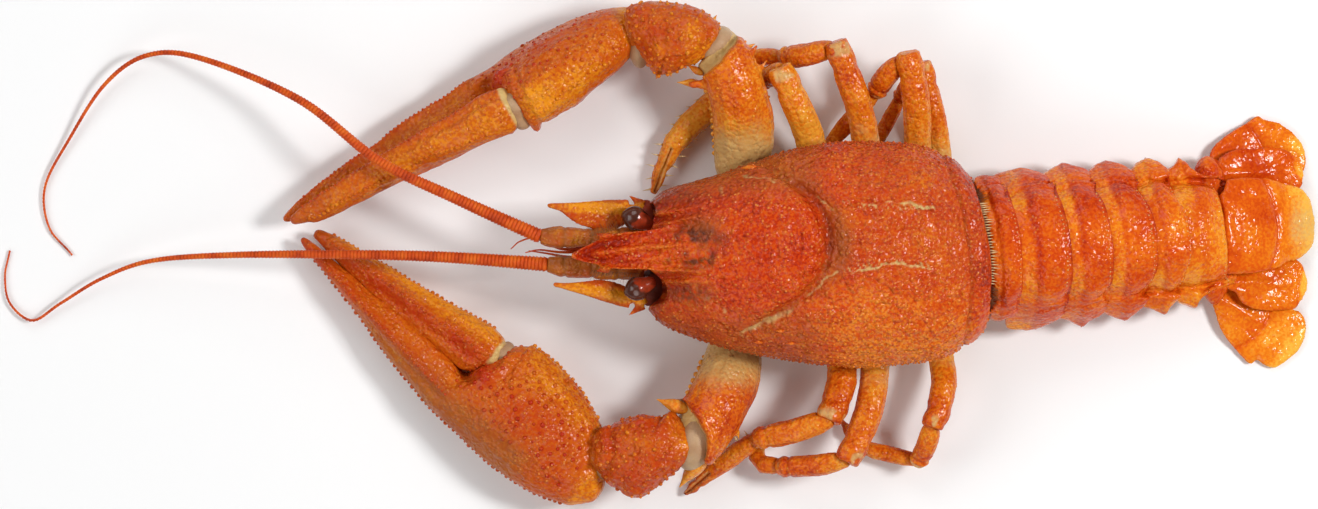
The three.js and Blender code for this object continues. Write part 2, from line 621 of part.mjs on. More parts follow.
const FOOT_SHAPE = evenly(0.7, 0.96, 1, 0.96, 0.8, 0.55, 0.2);
const LEG_FLATNESS = 0.88; // a leg is a little less deep than it is wide

function legPiece(line, shape, girth, ease = 0) {
  const width = (t) => (shape(t) * girth) / 2 + ease;
  const section = oval({ left: width, up: (t) => width(t) * LEG_FLATNESS });
  return loft(line, section, { sides: 8, steps: 6 });
}
for (const [name, leg] of Object.entries(LEGS)) {
  const shapes = [THIGH_SHAPE, SHIN_SHAPE, FOOT_SHAPE];
  let before = null;
  ["thigh", "shin", "foot"].forEach((piece, i) => {
    const shell = legPiece(leg[piece], shapes[i], leg.girth[i]);
    place(`${name}_${piece}`, before ? joined(shell, [], [before]) : shell, material(AMBER));
    before = legPiece(leg[piece], shapes[i], leg.girth[i], EASE);
  });
}

export default crayfish;
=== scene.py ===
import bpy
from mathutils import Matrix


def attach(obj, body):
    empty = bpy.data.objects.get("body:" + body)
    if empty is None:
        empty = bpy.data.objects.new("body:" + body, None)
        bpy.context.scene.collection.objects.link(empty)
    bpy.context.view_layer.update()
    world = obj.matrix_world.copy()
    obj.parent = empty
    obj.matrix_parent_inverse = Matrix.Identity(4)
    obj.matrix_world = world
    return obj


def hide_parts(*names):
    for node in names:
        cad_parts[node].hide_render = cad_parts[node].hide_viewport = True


bl_info = {
    "name": "Cooked crayfish",
    "version": (1, 0, 0),
    "blender": (4, 5, 0),
    "location": "3D View > Sidebar > Crayfish",
    "description": "A boiled crayfish lying on its belly, its shell dressed piece by piece",
    "category": "Mesh",
}

import math
from collections import namedtuple

import bmesh
import bpy
import numpy as np
from bpy.props import FloatProperty, FloatVectorProperty, PointerProperty
from mathutils import Euler, Matrix, Vector
from mathutils.bvhtree import BVHTree
from mathutils.kdtree import KDTree

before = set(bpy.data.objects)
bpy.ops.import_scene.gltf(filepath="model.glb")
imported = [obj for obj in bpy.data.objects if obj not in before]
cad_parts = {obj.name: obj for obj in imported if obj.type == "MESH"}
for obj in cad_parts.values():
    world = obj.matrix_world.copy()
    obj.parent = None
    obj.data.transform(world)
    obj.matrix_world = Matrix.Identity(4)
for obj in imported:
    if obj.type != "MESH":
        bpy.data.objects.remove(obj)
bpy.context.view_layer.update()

# Lengths below are in millimetres, in the frame of the solids; objects are in metres
MM = 0.001
WELD = 1e-6
TINY = 1e-12
SIDES = ("right", "left")
# The mark named dark holds real stains, and painted shade in grooves, troughs, pits and slits
MARKS = ("tone", "pale", "dull", "dark")
# A finish, and the slot of the pieces that wear it
Coat = namedtuple("Coat", ("material", "slot"))

# A height in metres above the whole animal
OVERHEAD = 0.1
# How an edge's reach is measured: in sectors round a place, or in stretches beside a line
SECTORS = 180
STRETCH = 0.5
LEAST_REACH = 0.5
# The most knobs that a square metre could hold, and the net of a knob or bead
DENSEST = 4e6
BEAD = {"Segments": 8, "Rings": 5, "Radius": 1.0}

# The tail's own frame: where it starts, how it is turned, and where each ring ends
TAIL_START = np.array([57.5, 1.0])
TAIL_YAW = 0.07
TAIL_AHEAD = np.array([math.cos(TAIL_YAW), math.sin(TAIL_YAW), 0])
RING_SWEEP = 0.05
RING_BOW = 0.0097
TAIL_JOINTS = (0, 4.6, 13.2, 20.4, 28, 34.2, 42)
TAIL_AXIS_Z = 10
FLAP_ROOT = 7
SHOULDER = 9
FLAP_TIP = 14.6
FLAP_TIP_Z = 6.4

# The carapace's rear rim at the middle, and its cervical groove
RIM_X = 57.2
GROOVE_BACK_X = 29.3
GROOVE_MIDDLE_Y = 2
GROOVE_HALF_WIDTH = 13.5
GROOVE_REACH = 11

# Each great claw's own frame: +X from the wrist to the tip, outer is the sign of the outer edge.
# Hinge is how much nearer to the wrist the hinge lies than in the solid, and skin is the middle and
# the half height of its skin.
CLAWS = {
    "left": {
        "position": (-10.4, -37.3, 7.9),
        "turn": (0, 0.07, math.pi - 0.663),
        "size": (1, 1, 1),
        "outer": 1,
        "hinge": 0,
        "skin": (0.5, 2.4),
    },
    "right": {
        "position": (-4.5, 39.3, 10.6),
        "turn": (1.08, 0.075, math.pi + 0.5),
        "size": (1.06, 0.8, 0.95),
        "outer": -1,
        "hinge": 2.6,
        "skin": (-0.9, 3.7),
    },
}

# Routes of the two whips, from the head to the tip
WHIPS = {
    "right": (
        (-20.6, 3.1, 17.4), (-34.8, 9.5, 15.8), (-48.8, 16.3, 14.2), (-62.8, 27, 11),
        (-80.3, 34.4, 6.6), (-90, 35, 4.2), (-97.5, 30, 2.6), (-104, 20.2, 1.2),
        (-108.2, 12, 0.7), (-107.6, 5, 0.5), (-103.9, 0.4, 0.4),
    ),
    "left": (
        (-19.4, -1.7, 17.3), (-38.3, -0.4, 15), (-56, 0, 12), (-75, -0.1, 8),
        (-89.1, -1.1, 5), (-98, -4.2, 3), (-105.4, -8.6, 1.6), (-110.4, -11.6, 1),
        (-114.4, -8.6, 0.7), (-115.3, -4, 0.5), (-114.6, 0, 0.4),
    ),
}
WHIP_GIRTH = (1.2, 0.98, 0.84, 0.72, 0.56, 0.43, 0.31, 0.23, 0.16)


# Curves, noise and distances

def ease(low, high, value):
    """0 at low and 1 at high, level beyond them. Low may be the larger."""
    share = np.clip((value - low) / (high - low), 0, 1)
    return share * share * (3 - 2 * share)


def bell(distance, width):
    """1 at no distance, fading out over about twice the width."""
    return np.exp(-((distance / width) ** 2))


def wave(turns):
    """A wave from -1 to 1, once up and down for each turn."""
    return np.sin(2 * math.pi * turns)


def spot(x, y, middle, width, stretch=1.0):
    """1 at a place, fading out over about twice the width, and drawn out along X by the stretch."""
    return bell(np.hypot((x - middle[0]) / stretch, y - middle[1]), width)


def through(points, step=0.5):
    """A smooth line through a few points, as close-set points."""
    knots = np.array(points, float)
    padded = np.vstack([2 * knots[0] - knots[1], knots, 2 * knots[-1] - knots[-2]])
    line = []
    for a, b, c, d in zip(padded, padded[1:], padded[2:], padded[3:]):
        count = max(2, int(np.linalg.norm(c - b) / step))
        t = np.linspace(0, 1, count, endpoint=False)[:, None]
        bend = (2 * a - 5 * b + 4 * c - d) * t**2 + (3 * b - a - 3 * c + d) * t**3
        line.append(b + ((c - a) * t + bend) / 2)
    return np.vstack([*line, knots[-1:]])


def away(points, line):
    """Distance of each point from a line of close-set points, and the share of the line passed there."""
    best = np.full(len(points), np.inf)
    share = np.zeros(len(points))
    for i, (a, b) in enumerate(zip(line, line[1:])):
        along = np.clip((points - a) @ (b - a) / ((b - a) @ (b - a)), 0, 1)
        distance = np.linalg.norm(points - a - along[:, None] * (b - a), axis=1)
        nearer = distance < best
        best[nearer] = distance[nearer]
        share[nearer] = (i + along[nearer]) / (len(line) - 1)
    return best, share


def scatter(cells, seed):
    """A fixed number from 0 to 1 for each cell of a grid."""
    mixed = cells[..., 0] * 374761393 + cells[..., 1] * 668265263 + cells[..., 2] * 1103515245
    mixed = (mixed + seed * 40503) & 0xFFFFFFFF
    mixed = ((mixed ^ (mixed >> 13)) * 1274126177) & 0xFFFFFFFF
    return ((mixed ^ (mixed >> 16)) & 0xFFFF) / 0xFFFF


def uneven(points, size, seed):
    """Smooth noise from -1 to 1 whose lumps are about that size. Size may differ by axis."""
    grid = points / np.array(size, float)
    cell = np.floor(grid).astype(np.int64)
    part = grid - cell
    part = part * part * (3 - 2 * part)
    total = np.zeros(len(points))
    for corner in np.ndindex(2, 2, 2):
        weight = np.prod(np.where(corner, part, 1 - part), axis=1)
        total += weight * scatter(cell + np.array(corner), seed)
    return 2 * total - 1


def pebbles(points, size, seed):
    """Distance to the nearest of evenly strewn places, as a share of their spacing."""
    grid = points / np.array(size, float)
    cell = np.floor(grid).astype(np.int64)
    nearest = np.full(len(points), 9.0)
    for step in np.ndindex(3, 3, 3):
        other = cell + np.array(step) - 1
        centre = other + np.stack([scatter(other, seed + k) for k in range(3)], axis=1)
        nearest = np.minimum(nearest, np.linalg.norm(grid - centre, axis=1))
    return nearest


def gap_to(points, others):
    """Distance from each point to the nearest of the other points."""
    tree = KDTree(len(others))
    for i, other in enumerate(others):
        tree.insert(other, i)
    tree.balance()
    return np.array([tree.find(point)[2] for point in points])


# Meshes

def settled(form):
    """Turns an object with live modifiers into a plain mesh, and takes the object away."""
    depsgraph = bpy.context.evaluated_depsgraph_get()
    mesh = bpy.data.meshes.new_from_object(
        form.evaluated_get(depsgraph), preserve_all_data_layers=True, depsgraph=depsgraph
    )
    source = form.data
    bpy.data.objects.remove(form)
    bpy.data.meshes.remove(source)
    return mesh


def stand(name, mesh):
    """An object at the origin that holds the mesh."""
    piece = bpy.data.objects.new(name, mesh)
    bpy.context.scene.collection.objects.link(piece)
    return piece


def dress(name, mesh, coat, *nodes):
    """Makes a mesh a piece of the animal in its coat, standing for these solids."""
    material, slot = coat
    mesh.name = name
    mesh.materials.clear()
    mesh.materials.append(material)
    mesh.shade_smooth()
    piece = stand(name, mesh)
    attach(piece, "root")
    if nodes:
        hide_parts(*nodes)
    return piece


def surface_heights(node, places):
    """The height of a solid's upper surface at each place, or 0 beside it."""
    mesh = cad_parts[node].data
    tree = BVHTree.FromPolygons([v.co for v in mesh.vertices], [p.vertices for p in mesh.polygons])
    down = Vector((0, 0, -1))
    hits = [tree.ray_cast(Vector((x * MM, y * MM, OVERHEAD)), down)[0] for x, y in places]
    return np.array([hit.z / MM if hit else 0.0 for hit in hits])


def node_points(node):
    """The corners of a solid, in millimetres."""
    points = np.empty(len(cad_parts[node].data.vertices) * 3)
    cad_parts[node].data.vertices.foreach_get("co", points)
    return points.reshape(-1, 3) / MM


def write_marks(mesh, marks):
    """Stores a number for each point of a mesh under the name of each mark."""
    for mark, values in marks.items():
        layer = mesh.attributes.new(mark, "FLOAT", "POINT")
        layer.data.foreach_set("value", np.asarray(values, np.float32))


class Shell:
    """One piece of the animal as arrays of points and faces, with marks that its finish reads."""

    def __init__(self, points, faces):
        self.points = points
        self.faces = faces
        self.marks = {name: np.zeros(len(points)) for name in MARKS}
        edges = [faces[:, [i, (i + 1) % faces.shape[1]]] for i in range(faces.shape[1])]
        ends = np.vstack(edges)
        self.heads = np.concatenate([ends[:, 0], ends[:, 1]])
        self.tails = np.concatenate([ends[:, 1], ends[:, 0]])
        self.counts = np.bincount(self.heads, minlength=len(points))

    @classmethod
    def of_node(cls, node, net, rounds, keep=0.3, grow=0.0, hold=None):
        """A solid's surface as an even net, with its facets smoothed away and its spines kept."""
        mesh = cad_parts[node].data.copy()
        weld = bmesh.new()
        weld.from_mesh(mesh)
        bmesh.ops.remove_doubles(weld, verts=weld.verts, dist=WELD)
        weld.to_mesh(mesh)
        weld.free()
        form = stand(node + "_form", mesh)
        skin = form.modifiers.new("Net", "REMESH")
        skin.mode = "VOXEL"
        skin.voxel_size = net * MM
        even = settled(form)
        points = np.empty(len(even.vertices) * 3)
        even.vertices.foreach_get("co", points)
        faces = np.empty(len(even.loops), np.int64)
        even.loops.foreach_get("vertex_index", faces)
        bpy.data.meshes.remove(even)
        shell = cls(points.reshape(-1, 3) / MM, faces.reshape(-1, 4))
        shell.polish(rounds, keep, hold)
        if grow:
            shell.push(np.full(len(shell.points), grow))
        return shell

    @classmethod
    def ball(cls, centre, radii, turn=(0, 0, 0), fineness=4):
        """A rounded lump with three radii."""
        form = bmesh.new()
        bmesh.ops.create_icosphere(form, subdivisions=fineness, radius=1)
        points = np.array([vertex.co for vertex in form.verts])
        faces = np.array([[vertex.index for vertex in face.verts] for face in form.faces])
        form.free()
        axes = np.array(Euler(turn).to_matrix())
        return cls((points * np.array(radii)) @ axes.T + np.array(centre), faces)

    def mean(self, values):
        """The mean of each point's neighbours."""
        columns = values.reshape(len(self.points), -1).T
        size = len(self.points)
        sums = [np.bincount(self.heads, column[self.tails], size) for column in columns]
        return (np.stack(sums, axis=1) / self.counts[:, None]).reshape(values.shape)

    def relaxed(self, values, rounds):
        """Values after each was drawn a few times halfway to its neighbours' mean."""
        for _ in range(rounds):
            values = (values + self.mean(values)) / 2
        return values

    def polish(self, rounds, keep, hold=None):
        """Smooths flat facets away without shrinking, but not what stands out further than keep."""
        crisp = self.relaxed(self.points, 2)
        soft = self.relaxed(crisp, rounds)
        for _ in range(2):
            soft = soft + self.relaxed(crisp - soft, rounds)
        moved = self.relaxed(np.linalg.norm(soft - crisp, axis=1), 4)
        share = ease(keep, 2 * keep, moved)
        if hold:
            share = np.maximum(share, hold(self.points))
        share = share[:, None]
        self.points = soft * (1 - share) + crisp * share

    def normals(self):
        corners = [self.points[self.faces[:, i]] for i in range(self.faces.shape[1])]
        across = np.cross(corners[2] - corners[0], corners[-1] - corners[1])
        size = len(self.points)
        spread = [np.repeat(across[:, k], self.faces.shape[1]) for k in range(3)]
        total = np.stack([np.bincount(self.faces.ravel(), s, size) for s in spread], axis=1)
        return total / np.maximum(np.linalg.norm(total, axis=1), TINY)[:, None]

    @property
    def flat(self):
        """The points seen from above."""
        return self.points[:, :2]

    def tilt(self):
        """How far the shell faces up at each point: 1 up, 0 aside, -1 down."""
        return self.normals()[:, 2]

    def rough(self, size, seed):
        """Smooth noise from -1 to 1 at each point, with lumps of about that size."""
        return uneven(self.points, size, seed)

    def grains(self, size, seed, edge=0.55, core=0.15):
        """1 in the middle of each grain, strewn about that far apart, and 0 between them."""
        return ease(edge, core, pebbles(self.points, size, seed))

    def push(self, height):
        """Moves each point out along its normal."""
        self.points = self.points + self.normals() * height[:, None]

    def lift(self, height):
        """Moves each point straight up."""
        self.points = self.points + np.outer(height, (0, 0, 1))

    def mark(self, name, values):
        """Adds to a mark, which stays between 0 and 1."""
        self.marks[name] = np.clip(self.marks.get(name, 0) + values, 0, 1)

    def mesh(self, name):
        mesh = bpy.data.meshes.new(name)
        mesh.from_pydata(self.points * MM, [], self.faces)
        write_marks(mesh, self.marks)
        return mesh

    def piece(self, name, coat, *nodes):
        return dress(name, self.mesh(name), coat, *nodes)


def thorn(centre, radii, heading):
    """A ball drawn out to a point on one side."""
    spine = Shell.ball((0, 0, 0), (1, 1, 1), fineness=3)
    taper = 1 - 0.75 * ease(-0.3, 1.0, spine.points[:, 0])
    x, y, z = (spine.points * np.array(radii)).T
    turn = np.array(Matrix.Rotation(heading, 3, "Z"))
    spine.points = np.stack([x, y * taper, z * taper], axis=1) @ turn.T + np.array(centre)
    return spine


def fit_outline(shell, centre, *route):
    """Draws a shell's edge, seen from above, to a line round a place inside it."""
    edge = through(route, 0.2) - np.array(centre)
    flat = shell.flat - np.array(centre)
    middle = edge[len(edge) // 2]
    lean = math.atan2(middle[1], middle[0])

    def bearing(places):
        return (np.arctan2(places[:, 1], places[:, 0]) - lean + math.pi) % (2 * math.pi) - math.pi

    angle, radius = bearing(flat), np.hypot(*flat.T)
    order = np.argsort(bearing(edge))
    along = bearing(edge)[order]
    wanted = np.interp(angle, along, np.hypot(*edge.T)[order])
    bins = np.linspace(-math.pi, math.pi, SECTORS + 1)
    reach = np.zeros(SECTORS)
    np.maximum.at(reach, np.clip(np.digitize(angle, bins) - 1, 0, SECTORS - 1), radius)
    now = np.interp(angle, (bins[1:] + bins[:-1]) / 2, reach)
    inside = ease(along[0] - 0.3, along[0], angle) * ease(along[-1] + 0.3, along[-1], angle)
    share = (np.clip(wanted / now, 0.7, 1.5) - 1) * inside * ease(0.2, 0.9, radius / now)
    shell.points[:, :2] += flat * share[:, None]


def reach_beside(along, out):
    """How far a shell reaches out beside each of its points."""
    bins = np.arange(along.min(), along.max() + STRETCH, STRETCH)
    reach = np.zeros(len(bins) + 1)
    np.maximum.at(reach, np.digitize(along, bins), out)
    centres = np.concatenate([bins[:1] - STRETCH / 2, bins + STRETCH / 2])
    used = reach > LEAST_REACH
    return np.interp(along, centres[used], reach[used])


def fit_edge(shell, start, end, route):
    """Draws one side of a shell, seen from above, to a line beside the way from start to end."""
    start, end = np.array(start), np.array(end)
    ahead = (end - start) / np.linalg.norm(end - start)
    side = np.array([-ahead[1], ahead[0]])
    edge = through(route, 0.3) - start
    side = side * np.sign((edge @ side).mean())
    edge = edge[np.argsort(edge @ ahead)]
    flat = shell.flat - start
    along, out = flat @ ahead, flat @ side
    wanted = np.interp(along, edge @ ahead, edge @ side)
    now = reach_beside(along, out)
    first, last = (edge @ ahead)[[0, -1]]
    inside = ease(first - 2.5, first + 1.5, along) * ease(last + 1.5, last, along)
    share = (np.clip(wanted / now, 0.7, 1.8) - 1) * inside * ease(0, 1.5, out)
    shell.points[:, :2] += np.outer(np.maximum(out, 0) * share, side)


def line_mesh(name, line, marks=None, lay=None):
    """A chain of edges in metres, with marks and a direction at each of its points."""
    mesh = bpy.data.meshes.new(name)
    links = [(i, i + 1) for i in range(len(line) - 1)]
    mesh.from_pydata(np.asarray(line) * MM, links, [])
    write_marks(mesh, marks or {})
    if lay is not None:
        layer = mesh.attributes.new("lay", "FLOAT_VECTOR", "POINT")
        layer.data.foreach_set("vector", np.asarray(lay, np.float32).ravel())
    return mesh


# Node trees

class Wire:
    """An output socket that takes part in arithmetic, each step adding a Math node."""

    def __init__(self, nodes, socket):
        self.nodes = nodes
        self.socket = socket

    def step(self, operation, first, second):
        return self.nodes.make("ShaderNodeMath", {0: first, 1: second}, operation=operation)

    def __add__(self, other):
        return self.step("ADD", self, other)

    def __radd__(self, other):
        return self.step("ADD", other, self)

    def __sub__(self, other):
        return self.step("SUBTRACT", self, other)

    def __rsub__(self, other):
        return self.step("SUBTRACT", other, self)

    def __mul__(self, other):
        return self.step("MULTIPLY", self, other)

    def __rmul__(self, other):
        return self.step("MULTIPLY", other, self)


class Nodes:
    """Adds nodes to a tree and sets or links their sockets."""

    def __init__(self, tree):
        self.tree = tree

    def node(self, kind, sockets=None, stops=None, **settings):
        node = self.tree.nodes.new(kind)
        for key, value in settings.items():
            setattr(node, key, value)
        if stops:
            ramp = node.color_ramp.elements
            while len(ramp) < len(stops):
                ramp.new(0.5)
            for element, (place, colour) in zip(ramp, stops):
                element.position = place
                element.color = colour
        for key, value in (sockets or {}).items():
            if isinstance(value, Wire):
                self.tree.links.new(value.socket, node.inputs[key])
            else:
                node.inputs[key].default_value = value
        return node

    def make(self, kind, sockets=None, output=0, **settings):
        return Wire(self, self.node(kind, sockets, **settings).outputs[output])


class Growth(Nodes):
    """A geometry tree whose named inputs are the sizes of what it grows."""

    def __init__(self, name, **inputs):
        super().__init__(bpy.data.node_groups.new(name, "GeometryNodeTree"))
        face = self.tree.interface
        face.new_socket("Geometry", in_out="INPUT", socket_type="NodeSocketGeometry")
        face.new_socket("Geometry", in_out="OUTPUT", socket_type="NodeSocketGeometry")
        self.keys = {}
        for key, kind in inputs.items():
            socket = face.new_socket(key, in_out="INPUT", socket_type="NodeSocket" + kind)
            self.keys[key] = socket.identifier
        source = self.tree.nodes.new("NodeGroupInput")
        self.given = {socket.name: Wire(self, socket) for socket in source.outputs if socket.name}

    def named(self, attribute, kind="FLOAT"):
        return self.make("GeometryNodeInputNamedAttribute", {"Name": attribute}, data_type=kind)

    def chance(self, low, high, seed):
        sockets = {2: low, 3: high, "Seed": seed}
        return self.make("FunctionNodeRandomValue", sockets, 1, data_type="FLOAT")

    def strung(self, spacing):
        """Points that far apart along the given lines."""
        line = self.make("GeometryNodeMeshToCurve", {"Mesh": self.given["Geometry"]})
        sockets = {"Curve": line, "Length": self.given[spacing]}
        return self.make("GeometryNodeResampleCurve", sockets, mode="LENGTH")

    def plant(self, sockets):
        """Ends the tree: a shape on every point, real and shaded smooth, in the given material."""
        instances = self.make("GeometryNodeInstanceOnPoints", sockets)
        real = self.make("GeometryNodeRealizeInstances", {"Geometry": instances})
        smooth = self.make("GeometryNodeSetShadeSmooth", {"Geometry": real})
        sockets = {"Geometry": smooth, "Material": self.given["material"]}
        done = self.make("GeometryNodeSetMaterial", sockets)
        end = self.tree.nodes.new("NodeGroupOutput")
        self.tree.links.new(done.socket, end.inputs[0])
        return self

    def grow(self, name, mesh, coat, **values):
        """Runs the tree on a mesh and makes what it grows a piece."""
        form = stand(name + "_seed", mesh)
        modifier = form.modifiers.new("Growth", "NODES")
        modifier.node_group = self.tree
        modifier[self.keys["material"]] = coat.material
        for key, value in values.items():
            modifier[self.keys[key]] = value
        return dress(name, settled(form), coat)


def bead_row_tree():
    """Rounded beads along lines, as on the toothed edges of the claws."""
    g = Growth("bead_row", spacing="Float", radius="Float", seed="Int", material="Material")
    points = g.strung("spacing")
    bead = g.make("GeometryNodeMeshUVSphere", BEAD)
    scale = g.chance(0.65, 1.3, g.given["seed"]) * g.given["radius"]
    return g.plant({"Points": points, "Instance": bead, "Scale": scale})


def bead_row(name, line, marks, coat, seed, spacing, radius):
    """Grows beads along a line, all with the same marks."""
    levels = {mark: np.full(len(line), level) for mark, level in marks.items()}
    mesh = line_mesh(name + "_line", line, levels)
    bead_row_tree().grow(name, mesh, coat, spacing=spacing, radius=radius, seed=seed)


def knob_tree():
    """Low domes strewn over a shell, as thick as its mark named knobs says."""
    g = Growth("knobs", spacing="Float", radius="Float", height="Float", seed="Int", material="Material")
    sockets = {
        "Mesh": g.given["Geometry"],
        "Distance Min": g.given["spacing"],
        "Density Max": DENSEST,
        "Density Factor": g.named("knobs"),
        "Seed": g.given["seed"],
    }
    spread = g.node("GeometryNodeDistributePointsOnFaces", sockets, distribute_method="POISSON")
    knob = g.make("GeometryNodeMeshUVSphere", BEAD)
    size = g.chance(0.55, 1.25, g.given["seed"])
    across = size * g.given["radius"]
    scale = g.make("ShaderNodeCombineXYZ", {"X": across, "Y": across, "Z": size * g.given["height"]})
    sockets = {
        "Points": Wire(g, spread.outputs["Points"]),
        "Instance": knob,
        "Rotation": Wire(g, spread.outputs["Rotation"]),
        "Scale": scale,
    }
    return g.plant(sockets)


def strew(name, shell, lighter, coat, seed, spacing, radius, height):
    """Grows knobs on a shell, lighter or darker than the ground."""
    ground = shell.mesh(name + "_ground")
    tone = np.clip(shell.marks["tone"] + lighter, 0, 1)
    ground.attributes["tone"].data.foreach_set("value", np.asarray(tone, np.float32))
    sizes = {"spacing": spacing * MM, "radius": radius * MM, "height": height * MM}
    knob_tree().grow(name, ground, coat, seed=seed, **sizes)


def bristle_tree():
    """Fine stiff hairs along lines, each leaning near the direction named lay."""
    inputs = {"spacing": "Float", "radius": "Float", "length": "Float", "spread": "Float"}
    g = Growth("bristles", **inputs, seed="Int", material="Material")
    points = g.strung("spacing")
    sockets = {0: (-1, -1, -1), 1: (1, 1, 1), "Seed": g.given["seed"]}
    stray = g.make("FunctionNodeRandomValue", sockets, data_type="FLOAT_VECTOR")
    sockets = {0: stray, "Scale": g.given["spread"]}
    stray = g.make("ShaderNodeVectorMath", sockets, operation="SCALE")
    lean = g.make("ShaderNodeVectorMath", {0: g.named("lay", "FLOAT_VECTOR"), 1: stray})
    turn = g.make("FunctionNodeAlignRotationToVector", {"Vector": lean}, axis="Z")
    hair = g.make("GeometryNodeMeshCone", {"Vertices": 5, "Radius Bottom": 1.0, "Depth": 1.0})
    tall = g.chance(0.5, 1.2, g.given["seed"]) * g.given["length"]
    sockets = {"X": g.given["radius"], "Y": g.given["radius"], "Z": tall}
    scale = g.make("ShaderNodeCombineXYZ", sockets)
    return g.plant({"Points": points, "Instance": hair, "Rotation": turn, "Scale": scale})


def whip_tree():
    """Short flared rings strung along a line, each as wide as the mark named girth says."""
    g = Growth("whip", ring="Float", flare="Float", material="Material")
    points = g.strung("ring")
    heading = g.make("GeometryNodeInputTangent")
    turn = g.make("FunctionNodeAlignRotationToVector", {"Vector": heading}, axis="Z")
    sockets = {"Vertices": 14, "Radius Top": 1 + g.given["flare"], "Radius Bottom": 0.9, "Depth": 1.0}
    ring = g.make("GeometryNodeMeshCone", sockets)
    girth = g.named("girth") * MM
    sockets = {"X": girth, "Y": girth, "Z": g.given["ring"] * 1.12}
    scale = g.make("ShaderNodeCombineXYZ", sockets)
    return g.plant({"Points": points, "Instance": ring, "Rotation": turn, "Scale": scale})


# Finishes

class Finish(Nodes):
    """A material whose patterns lie on the piece's own places and marks."""

    def __init__(self, name):
        self.material = bpy.data.materials.new(name)
        self.material.use_nodes = True
        super().__init__(self.material.node_tree)
        self.shader = self.tree.nodes["Principled BSDF"]
        self.place = self.make("ShaderNodeTexCoord", output="Object")

    def mark(self, name):
        return self.make("ShaderNodeAttribute", output="Fac", attribute_name=name)

    def noise(self, size, detail=2.0, stretch=None):
        """Cloudy noise from 0 to 1 with lumps of that size in millimetres."""
        place = self.place
        if stretch:
            place = self.make("ShaderNodeMapping", {"Vector": place, "Scale": stretch})
        sockets = {"Vector": place, "Scale": 1 / (size * MM), "Detail": detail}
        return self.make("ShaderNodeTexNoise", sockets, "Fac")

    def cells(self, size, feature="F1"):
        """Distance from strewn points that lie about size apart."""
        sockets = {"Vector": self.place, "Scale": 1 / (size * MM)}
        return self.make("ShaderNodeTexVoronoi", sockets, "Distance", feature=feature)

    def step(self, value, low, high):
        sockets = {0: value, 1: low, 2: high}
        return self.make("ShaderNodeMapRange", sockets, interpolation_type="SMOOTHSTEP")

    def blend(self, share, first, second):
        return self.make("ShaderNodeMix", {0: share, 6: first, 7: second}, 2, data_type="RGBA")

    def ramp(self, value, *stops):
        return self.make("ShaderNodeValToRGB", {0: value}, stops=stops)

    def close(self, colour, roughness, height, depth, **fixed):
        """Feeds the shader; depth is how far the relief of height 1 stands out, in millimetres."""
        sockets = {"Strength": 1.0, "Distance": depth * MM, "Height": height}
        bump = self.make("ShaderNodeBump", sockets)
        for key, wire in (("Base Color", colour), ("Roughness", roughness), ("Normal", bump)):
            self.tree.links.new(wire.socket, self.shader.inputs[key])
        for key, value in fixed.items():
            self.shader.inputs[key.replace("_", " ")].default_value = value
        return self.material


def srgb(red, green, blue):
    """The linear colour of a display colour given from 0 to 255."""
    return tuple(((c / 255 + 0.055) / 1.055) ** 2.4 for c in (red, green, blue))


def paint(red, green, blue):
    return (*srgb(red, green, blue), 1.0)


def colours():
    return bpy.context.scene.crayfish_colours


def relief():
    return bpy.context.scene.crayfish_relief


def shade(name):
    """One of the animal's colours, with its alpha."""
    return (*getattr(colours(), name), 1.0)


def shell_coat(name, ramp, mottle, roughness, grain, depth, specks, speck=0.9):
    """Cooked shell of one slot: red to amber by tone, speckled, with amber flecks that are partly painted
    glints, umber stains and painted shade by the mark named dark, cream seams and low domes.
    """
    f = Finish(name)
    cloud = f.noise(5.0) + f.noise(1.6) * 0.8 - 0.9
    fine = f.step(f.noise(0.55, 1.0), 0.38, 0.62) - 0.5
    tone = f.mark("tone") + cloud * mottle + fine * (0.5 * mottle)
    colour = f.ramp(tone, *zip((0.0, 0.33, 0.66, 1.0), ramp))
    dots = (1 - f.step(f.cells(speck), 0.1, 0.38)) * f.step(f.noise(3.6), 0.36, 0.6)
    colour = f.blend(dots * specks, colour, ramp[0])
    dome = f.cells(grain)
    swell = f.step(f.noise(1.9), 0.4, 0.62)
    # Amber on the tops of the domes: partly real flecks, partly painted glints
    fleck_and_glint = (1 - f.step(dome, 0.1, 0.32)) * swell
    colour = f.blend(fleck_and_glint * (1.2 * specks), colour, shade("amber"))
    colour = f.blend(f.mark("dull") * 0.85, colour, shade("brown"))
    seam = f.step(f.mark("pale") + (f.noise(0.6) - 0.5) * 0.5, 0.1, 0.9)
    colour = f.blend(seam, colour, shade("cream"))
    # Umber by the mark named dark: real stains, and painted shade and shadow in grooves, troughs, pits,
    # slits and at the rings' rear edges
    stain_and_shade = f.mark("dark") * f.step(f.noise(1.1, 3.0), 0.25, 0.6)
    colour = f.blend(stain_and_shade, colour, shade("umber"))
    rough = roughness + f.noise(1.2) * 0.1 + seam * 0.1
    height = (1 - dome * dome * 1.4) * (0.4 + swell) + f.noise(1.1) * 0.6
    return Coat(f.close(colour, rough, height, depth, Specular_IOR_Level=0.2), name)


def membrane_finish():
    """Pale skin at the joints, finely wrinkled, and browner by the mark named dull."""
    f = Finish("joint_skin")
    colour = f.blend(f.noise(1.6, 3.0) * 0.5, shade("skin"), shade("cream"))
    colour = f.blend(f.mark("dull"), colour, shade("brown"))
    height = f.noise(0.5, 2.0) + f.noise(0.16) * 0.4
    return f.close(colour, 0.34 + f.noise(0.9) * 0.2, height, 0.12, Specular_IOR_Level=0.25)


def eye_finish():
    """A dark glossy eyeball on an orange stalk, by the mark named tone."""
    f = Finish("eye_gloss")
    stalk = f.blend(f.noise(0.7, 2.0), shade("umber"), shade("red"))
    ball = f.blend(f.noise(1.1, 2.0), shade("ink"), shade("umber"))
    colour = f.blend(f.step(f.mark("tone"), 0.35, 0.65), ball, stalk)
    height = f.cells(0.12) * 0.3
    rough = 0.12 + f.noise(0.6) * 0.1
    return f.close(colour, rough, height, 0.02, Coat_Weight=0.15, Coat_Roughness=0.05)


